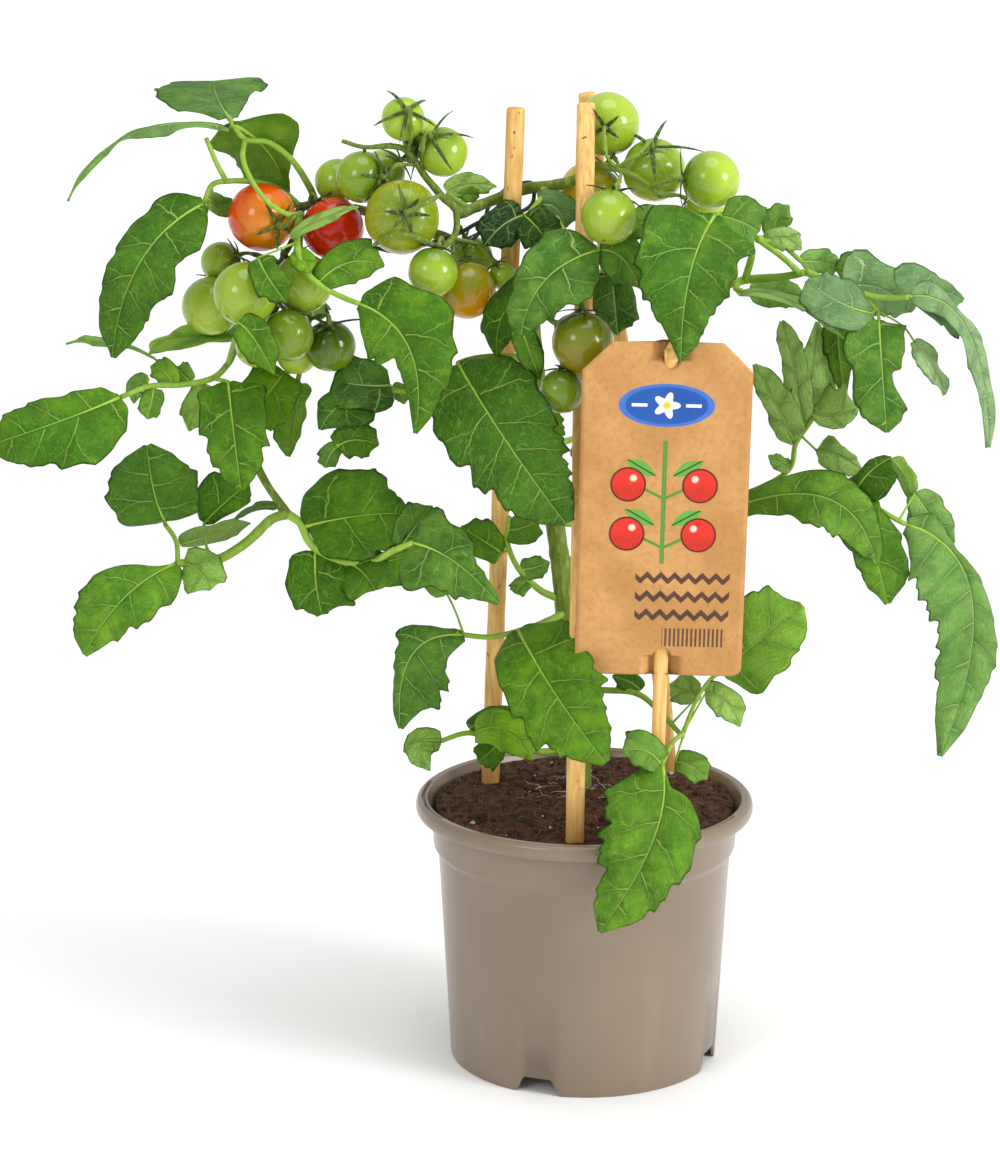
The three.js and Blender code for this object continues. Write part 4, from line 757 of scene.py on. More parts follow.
# Brown board, printed on its front with a plain pattern: a blue badge with a white blossom, a sprig of
# green leaves and red berries, and dark rows of chevrons and strokes. cardMap is the place on it in
# millimetres.
def cardFinish():
    finish = Finish("labelBoard", Specular_IOR_Level=0.3)
    u, v = finish.pair("cardMap")
    pulp, speck = finish.noise(0.0022, 5), finish.noise(0.0007, 3, (1, 1, 0.35)).step(0.62, 0.72)
    cloud = finish.noise(0.02, 3)
    board = finish.mix(cloud.step(0.3, 0.7), (178, 130, 74), (196, 148, 90))
    board = finish.coat(board, (pulp.step(0.4, 0.75) * 0.35, (156, 108, 56)), (speck * 0.35, (118, 78, 38)))
    ink, half, aboveBadge = 0.86 + 0.14 * pulp, abs(u), v - artwork["badge"]

    def disc(x, y, radius, soft=0.25):
        return 1 - ((x * x + y * y) ** 0.5).step(radius - soft, radius + soft)

    def band(x, low, high):
        return x.step(low - 0.15, low + 0.15) * (1 - x.step(high - 0.15, high + 0.15))

    # the badge
    badge = disc(u * artwork["squash"], aboveBadge, artwork["badgeHalf"])
    field = disc(u * artwork["squash"], aboveBadge, artwork["fieldHalf"])
    turn = finish.add("ShaderNodeMath", {"operation": "ARCTAN2"}, {0: aboveBadge, 1: u})
    petals = finish.add("ShaderNodeMath", {"operation": "COSINE"}, {0: turn * 5})
    flower = 1 - ((u * u + aboveBadge * aboveBadge) ** 0.5 - petals * 1.3).step(3.9, 4.3)
    dashes = band(half, 7.5, 13.5) * band(aboveBadge, -0.6, 0.6)
    # the sprig
    first, step = artwork["berryRow"], artwork["berryStep"]
    row = ((v - first) / step).part() * step - step / 2
    zone, leafZone = band(v, first, first + 2 * step), band(v, first + 2, 93)
    twig = band(half, 0, 0.9).above(1 - half * 9) * band(v, 46, 96)
    branch = (1 - abs(row + 5.5 - half * 0.5).step(0.5, 0.85)) * band(half, 0.5, 11) * zone
    leafX, leafY = (half - 9.5) * 0.87 + (row - 7.2) * 0.5, (row - 7.2) * 0.87 - (half - 9.5) * 0.5
    leaf = (1 - (abs(leafY) + leafX * leafX * 0.052).step(2.5, 2.8)) * leafZone
    crease = 1 - abs(leafY).step(0.2, 0.45)
    berry, core = (disc(half - artwork["berryOut"], row, radius) * zone for radius in (7, 6.3))
    shade = (1 - abs((half * 1.1 + row * 0.25).part() - 0.5).step(0.1, 0.22)) * (1 - row.step(-3, 2))
    glint = disc(half - 12, row - 2.6, 1.3, 0.5) * zone
    # rows of chevrons, and a row of strokes under them
    lineStep, zigzag = artwork["lineStep"], artwork["zigzag"]
    line = ((v - artwork["lineRow"]) / lineStep).part() * lineStep
    slant = abs((u / zigzag).part() - 0.5) * zigzag
    chevron = (1 - abs(line - 1.6 - slant).step(1.15, 1.4)) * band(line, 0.6, 5.6)
    chevron = chevron * band(u, -10, 27) * band(v, artwork["lineRow"], artwork["lineRow"] + 3 * lineStep)
    ticks = 1 - abs((u / artwork["tick"]).part() - 0.5).step(0.2, 0.3)
    ticks = ticks * band(v, 12, 19.5) * band(u, 1, 26)
    printed = finish.coat(
        board, (badge * ink, inks["edge"]), (field * (0.55 + 0.45 * cloud), inks["field"]),
        (flower, inks["white"]), (disc(u, aboveBadge, 1.5), inks["heart"]), (dashes, inks["white"]),
        (twig.above(branch), inks["twig"]), (leaf, inks["leaf"]), (leaf * crease, inks["crease"]),
        (berry, inks["outline"]), (core * ink, inks["berry"]), (core * shade * 0.7, inks["shade"]),
        (glint, inks["glint"]), (chevron * ink, inks["line"]), (ticks * 0.9, inks["tick"]))
    colour = finish.mix(finish.value("front").step(0.5, 0.9), board, printed)
    return finish.paint(colour, 0.6 + 0.2 * pulp, pulp + speck * 0.5, 0.00008, 0.6)


tie = {
    "radius": 0.85,
    "path": [
        (372, 247, 6), (400, 252, 4), (430, 243, 0), (453, 236, -2), (480, 222, -4), (500, 216, -3.2),
        (517, 213, -2.5), (529, 207, 2), (534, 197, 9), (532, 183, 14), (520, 184, 16.5), (505, 190, 16.5),
        (490, 205, 13.5), (486, 216, 4), (484, 226, -6), (472, 241, -10),
    ],
}


def makeTie():
    body = stem(seen(tie["path"]), [tie["radius"]] * 2, around=12, spacing=1.2, wobble=0.12)
    makePiece("wireTie", body, ["tie"], "tie_black", finishes["tie"])


makeCanes()
makeCard()
makeTie()
print("canes, label and tie made")


def smoothStem(spots, radii, tone, around=10, **settings):
    return stem(seen(spots), radii, around=around, tone=tone, **settings)


trunk = {
    "radii": (5.6, 5.2, 4.6, 4, 3.3, 2.7, 2.3), "root": 70, "tone": 0.33,
    "path": [(578, 748, 12), (575, 700, 12), (566, 612, 10), (556, 530, 12), (545, 450, 14), (537, 370, 16),
             (533, 300, 18), (538, 240, 17), (552, 186, 6)],
}
vine = [
    {"path": [(552, 186, 6), (525, 189, 11), (506, 195, 11.5), (486, 203, 8), (460, 214, -5)],
     "radii": (2.4, 2.3, 2.2, 2.1), "tone": 0.3},
    {"path": [(552, 186, 6), (575, 180, -1), (586, 172, 1), (595, 166, -3), (616, 168, -5)],
     "radii": (2.4, 2, 1.6), "tone": 0.3},
    {"path": [(533, 290, 18), (505, 272, 20), (472, 250, 22), (430, 232, 18), (380, 215, 14),
              (350, 208, 20), (325, 204, 20), (300, 207, 8)], "radii": (2.4, 2.2, 2, 1.9), "tone": 0.22},
    {"path": [(300, 207, 8), (298, 250, 19), (294, 300, 20), (262, 370, 16), (248, 430, 10), (262, 476, 4),
              (288, 514, -2)], "radii": (1.9, 1.8, 1.7, 1.6), "tone": 0.35},
    {"path": [(538, 262, 18), (600, 275, 21), (642, 283, 15), (700, 290, 8), (730, 284, 0), (745, 280, 0),
              (788, 276, -8), (806, 272, -12)], "radii": (2.4, 2.1, 1.9, 1.5), "tone": 0.6},
    {"path": [(800, 274, -11), (786, 260, -12), (757, 239, -8)], "radii": (1.3, 1.1), "tone": 0.6},
]


def makeVine():
    points = seen(trunk["path"])
    root = [*points[0][:2], trunk["root"]]
    parts = [stem([root, *points], trunk["radii"], around=20, wobble=0.07, tone=trunk["tone"])]
    parts += [smoothStem(one["path"], one["radii"], one["tone"], 14, wobble=0.08) for one in vine]
    makePiece("vineStem", joinShells(parts), ["main_stem"], "stem_green", finishes["stem"])


# at: the fruit's middle; pole: the way its stalk end points (right, back, up); tone: how dark the skin is;
# shift: how far the colour of its stalk end comes down it.
def fruit(at, radius, pole, skin, tone=0.0, shift=0.0):
    return {"at": at, "radius": radius, "pole": pole, "skin": skin, "tone": tone, "shift": shift}


fruits = {
    "tomato_left_orange": fruit((262, 217, -5), 13.5, (0.5, -0.8, -0.1), "orange", tone=0.1, shift=-0.6),
    "tomato_left_red": fruit((333, 228, 0), 12.4, (-0.5, 0.3, 0.8), "red"),
    "tomato_left_outer": fruit((211, 306, 0), 11.8, (0.6, 0.5, 0.6), "green", tone=0.1, shift=-0.1),
    "tomato_left_pale": fruit((245, 294, -22), 12.7, (0.5, 0.6, 0.6), "green", tone=0.35),
    "tomato_left_inner": fruit((303, 283, -10), 11.9, (-0.5, 0.5, 0.7), "green", tone=0.4),
    "tomato_left_low": fruit((288, 335, -20), 10.3, (-0.5, 0.5, 0.75), "green", tone=0.7),
    "tomato_left_dark": fruit((330, 346, -8), 10.3, (0, -0.4, 0.9), "green", tone=0.9, shift=0.16),
    "tomato_top_left": fruit((337, 181, 13), 9, (0.9, -0.2, 0.3), "green", tone=0.25),
    "tomato_top_front": fruit((362, 177, -8), 10.3, (0.75, -0.65, 0.1), "green", tone=0.45),
    "tomato_top_pale": fruit((403, 119, -10), 8.6, (0.2, -0.85, 0.45), "green", tone=0.1, shift=-0.4),
    "tomato_top_right": fruit((443, 152, -10), 9.8, (-0.45, -0.6, 0.65), "green", tone=0.25, shift=-0.2),
    "tomato_big_olive": fruit((402, 217, -20), 14.7, (0.15, -0.95, 0.25), "turning"),
    "tomato_mid_green": fruit((433, 272, -30), 9.8, (0.2, 0.3, 0.9), "green", tone=0.35),
    "tomato_mid_orange": fruit((467, 290, -12), 11.5, (-0.35, 0, 0.9), "orange", shift=0.36),
    "tomato_cane_top": fruit((608, 124, 12), 12.7, (-0.12, -0.98, 0), "green", tone=0.2, shift=-0.5),
    "tomato_right_sepals": fruit((654, 170, 6), 12.6, (-0.1, -0.6, 0.8), "green", tone=0.1, shift=-0.2),
    "tomato_right_outer": fruit((711, 180, -20), 11.4, (-1, -0.2, 0.1), "green", tone=0.1),
    "tomato_right_front": fruit((609, 217, -27), 11, (0.2, 0.65, 0.75), "green", tone=0.3),
    "tomato_right_yellow": fruit((590, 193, 13.5), 12.7, (0.5, 0, 0.85), "turning", shift=-0.4),
    "tomato_label_olive": fruit((583, 342, -38), 12.2, (0, 0.3, 0.95), "turning", tone=0.75),
    "tomato_label_green": fruit((562, 391, -38), 8.8, (0, 0.5, 0.85), "green", tone=0.75),
    "tomato_hidden_red": fruit((612, 298, 6), 9.4, (0, 0.5, 0.85), "red"),
}
fruitShape = {"around": 40, "rings": 30, "dimple": 0.09, "dimpleWidth": 0.36, "lobes": 5, "lobing": 0.008}


# Two directions square to a pole, and the pole itself.
def poleFrame(pole):
    top = unit(pole)
    first = unit(np.cross(top, (0.31, 0.77, -0.55)))
    return first, np.cross(top, first), top


# A fruit: a circle profile turned about its pole, with a shallow dimple where the stalk meets it.
def fruitShell(one):
    shape = fruitShape
    first, second, top = poleFrame(one["pole"])
    down = np.linspace(0.02, np.pi - 0.02, shape["rings"])[:, None]
    turn = circle(shape["around"])
    swell = 1 + shape["lobing"] * np.cos(shape["lobes"] * turn) * np.sin(down)
    height = np.cos(down) - shape["dimple"] * np.exp(-(down / shape["dimpleWidth"]) ** 2)
    ringsOut = np.sin(down) * swell
    offset = ringsOut[..., None] * (np.cos(turn)[:, None] * first + np.sin(turn)[:, None] * second)
    rings = seen(one["at"]) + one["radius"] * (offset + height[..., None] * top)
    body = closedShell(rings, pole=np.cos(down), tone=one["tone"], shift=one["shift"])
    around = np.stack(np.broadcast_arrays(np.cos(turn) + 0 * down, np.sin(turn)), -1).reshape(-1, 2)
    body["turnMap"] = np.concatenate([around, [[0, 0], [0, 0]]])
    return body


def makeFruits():
    for name, one in fruits.items():
        piece, skin = "fruit" + name.removeprefix("tomato"), one["skin"]
        makePiece(piece, fruitShell(one), [name], "fruit_" + skin, finishes[skin], maps=("turnMap",))


# spine: the bare stalks; carries: the fruit that hang on them, each with its route from the spine; small:
# fruit that belong to the truss itself.
trusses = {
    "truss_upper_left": {"tone": 0.3, "spine": [
        {"path": [(461, 213, -5), (452, 205, -8), (440, 194, -10), (425, 176, -12), (418, 165, -12),
                  (404, 149, -12), (391, 146, -12), (364, 147, -10),
                  (342, 141, -8)], "from": 1.8, "to": 0.8},
        {"path": [(456, 209, -7), (456, 232, -12), (442, 247, -20), (425, 241, -30), (408, 235, -37),
                  (391, 236, -37), (374, 245, -30)], "from": 1.5, "to": 0.8},
    ], "carries": {
        "tomato_top_left": [(364, 147, -10), (366, 160, 3)],
        "tomato_top_front": [(418, 165, -12), (395, 166, -20)],
        "tomato_top_pale": [(408, 154, -12), (411, 135, -18)],
        "tomato_top_right": [(422, 171, -12), (422, 150, -18)],
        "tomato_big_olive": [(440, 194, -10), (438, 196, -24), (428, 202, -38)],
        "tomato_mid_green": [(444, 246, -19)],
        "tomato_mid_orange": [(455, 234, -13)],
    }, "small": [
        {"at": (383, 172, 8), "radius": 9, "pole": (0.7, -0.3, 0.5),
         "route": [(418, 165, -12), (408, 160, 2)]},
        {"at": (422, 138, 5), "radius": 8.2, "pole": (-0.3, -0.8, -0.3), "route": [(408, 154, -12)]},
        {"at": (472, 258, 8), "radius": 8.6, "pole": (-0.3, -0.3, 0.9), "route": [(456, 222, -10)]},
        {"at": (503, 276, -5), "radius": 5.6, "pole": (-0.5, 0.1, 0.8),
         "route": [(453, 238, -14), (484, 246, -10)]},
    ]},
    "truss_lower_left": {"tone": 0.25, "spine": [
        {"path": [(300, 209, 5), (299, 226, 4), (290, 245, 3), (281, 262, 3), (276, 290, 3),
                  (285, 310, 0), (305, 322, -4)], "from": 1.5, "to": 0.9},
    ], "carries": {
        "tomato_left_orange": [(300, 213, 5), (302, 214, -10), (294, 217, -21)],
        "tomato_left_red": [(300, 211, 5), (309, 203, 6)],
        "tomato_left_outer": [(277, 279, 3), (250, 278, 16), (238, 283, 15)],
        "tomato_left_pale": [(278, 272, 3)],
        "tomato_left_inner": [(281, 262, 3)],
        "tomato_left_low": [(278, 298, 2)],
        "tomato_left_dark": [(305, 322, -4), (320, 316, -10)],
    }, "small": [
        {"at": (221, 262, 9), "radius": 8.2, "pole": (0.7, -0.3, 0.3),
         "route": [(281, 262, 3), (256, 255, 12)]},
        {"at": (256, 347, -5), "radius": 8.2, "pole": (0.6, 0.4, 0.7),
         "route": [(277, 295, 3), (275, 318, 4)]},
        {"at": (297, 353, 6), "radius": 8.6, "pole": (-0.1, 0.1, 1), "route": [(286, 311, 0)]},
    ]},
    "truss_right": {"tone": 0.45, "spine": [
        {"path": [(616, 168, -5), (632, 175, -8), (647, 184, -10),
                  (660, 197, -12)], "from": 1.5, "to": 0.9},
        {"path": [(618, 169, -5), (628, 160, -9), (640, 154, -9)], "from": 0.9, "to": 0.8},
        {"path": [(650, 187, -10), (662, 183, -16), (676, 179, -20)], "from": 0.9, "to": 0.8},
    ], "carries": {
        "tomato_cane_top": [(618, 169, -5), (606, 155, -9), (605, 138, -7)],
        "tomato_right_sepals": [(640, 154, -9)],
        "tomato_right_outer": [(676, 179, -20)],
        "tomato_right_front": [(622, 171, -6), (619, 182, -12)],
        "tomato_right_yellow": [(621, 170, -6), (616, 160, 4)],
    }, "small": [
        {"at": (705, 207, -1), "radius": 8, "pole": (-0.9, 0, 0.4), "route": [(660, 197, -12)]},
    ]},
    "truss_middle": {"tone": 0.4, "spine": [
        {"path": [(536, 300, 18), (545, 313, 0), (556, 323, -14), (568, 317, -28),
                  (578, 314, -34)], "from": 1.5, "to": 1},
        {"path": [(542, 309, 6), (560, 300, 3), (590, 284, 10)], "from": 1, "to": 0.9},
    ], "carries": {
        "tomato_label_olive": [(578, 314, -34)],
        "tomato_label_green": [(556, 322, -14), (556, 345, -22)],
        "tomato_hidden_red": [(590, 284, 10)],
    }, "small": []},
}
sepals = {"count": 5, "rings": 9, "around": 6, "width": 1.05, "thick": 0.3, "reach": 0.95, "curl": 0.34,
          "seed": 5}
# fruit whose sepals are longer or stand up more than the rest: (reach, curl)
sepalLooks = {
    "tomato_top_pale": (1.35, 0.42), "tomato_top_right": (1.25, 0.6), "tomato_right_sepals": (1.15, 0.7),
    "tomato_left_dark": (1.05, 0.8), "tomato_cane_top": (0.4, 0.7), "tomato_big_olive": (0.55, 0.25),
    "tomato_left_orange": (0.65, 0.3), "tomato_mid_orange": (0.9, 0.6),
}


# Sepals: narrow pointed blades that leave the pole evenly, follow the fruit's curve, and lift off it by the
# square of the way along them, each by a little more or less.
def sepalShells(one, distance, reach, curl, random):
    first, second, top = poleFrame(one["pole"])
    share = np.linspace(0, 1, sepals["rings"])[:, None]
    edge = circle(sepals["around"])
    shells = []
    count = sepals["count"] + int(random.uniform() > 0.6)
    start = random.uniform(0, 2 * np.pi)
    for k in range(count):
        turn = start + 2 * np.pi * (k + random.uniform(-0.16, 0.16)) / count
        way = np.cos(turn) * first + np.sin(turn) * second
        bend = share * reach * random.uniform(0.8, 1.15)
        lift = one["radius"] * curl * random.uniform(0.5, 1.5) * share ** 2
        path = seen(one["at"]) + (distance + 0.3 + lift) * (np.cos(bend) * top + np.sin(bend) * way)
        side, up = across(path, top)
        wide = sepals["width"] * (one["radius"] / 12) ** 0.5
        wide = wide * (0.55 + 1.2 * share) * (1 - share) ** 0.75 + 0.12
        thick = sepals["thick"] * (1 - 0.6 * share) + 0.05
        rings = path[:, None] + wide[..., None] * np.cos(edge)[:, None] * side[:, None]
        rings = rings + thick[..., None] * np.sin(edge)[:, None] * up[:, None]
        shells.append(closedShell(rings, tone=0.12 * random.uniform()))
    return shells


# A fruit's own stalk: thin, with a knuckle half way, flaring into the calyx.
pedicelRadii = (0.75, 0.72, 0.7, 0.8, 1.15, 0.85, 0.75, 0.8, 1.5)


def pedicel(one, route, distance, tone):
    top = unit(one["pole"])
    ends = [seen(one["at"]) + top * (distance + lift) for lift in (4, 0.2)]
    return stem([*seen(route), *ends], pedicelRadii, around=8, spacing=1.1, wobble=0.1, tone=tone)


# the skin of the small fruit, and how far their stalks run into them
smallLooks, sunk = {"tone": 0.1, "shift": -0.2}, 0.6


def makeTrusses():
    random = np.random.default_rng(sepals["seed"])
    for name, truss in trusses.items():
        parts = [smoothStem(one["path"], np.linspace(one["from"], one["to"], 3), truss["tone"], wobble=0.12)
                 for one in truss["spine"]]
        for fruitName, route in truss["carries"].items():
            one = fruits[fruitName]
            reach, curl = sepalLooks.get(fruitName, (sepals["reach"], sepals["curl"]))
            parts.append(pedicel(one, route, one["radius"], truss["tone"]))
            parts += sepalShells(one, one["radius"], reach, curl, random)
        for one in truss["small"]:
            parts.append(pedicel(one, one["route"], one["radius"] - sunk, truss["tone"]))
            parts += sepalShells(one, one["radius"], sepals["reach"], sepals["curl"], random)
        title = name.replace("truss_", "trussStalks_")
        makePiece(title, joinShells(parts), [name], "stem_green", finishes["stem"])
        if truss["small"]:
            berries = [fruitShell({**one, **smallLooks}) for one in truss["small"]]
            title, green = name.replace("truss_", "smallFruit_"), finishes["green"]
            makePiece(title, joinShells(berries), [name], "fruit_green", green, maps=("turnMap",))


makeVine()
makeFruits()
makeTrusses()
print("vine, fruit and trusses made")


# One leaflet: base, mid and tip of its midrib, its width in millimetres, the way its upper side faces
# (towards the viewer, right, up) and the route of its own stalk where that isn't the shortest one. looks:
# tone, 0 dark to 1.5 bright, where tones above 1 are painted light that brightens a leaflet beyond its own
# green; chill, how bluish; depth of the teeth; sweep, how far the side veins run forwards; edges, the half
# widths in millimetres at even steps from base to tip, left and right.
def leaflet(base, mid, tip, wide, face=(1, 0, 0.3), route=(), **looks):
    return {"base": base, "mid": mid, "tip": tip, "wide": wide, "face": face, "route": route, **looks}


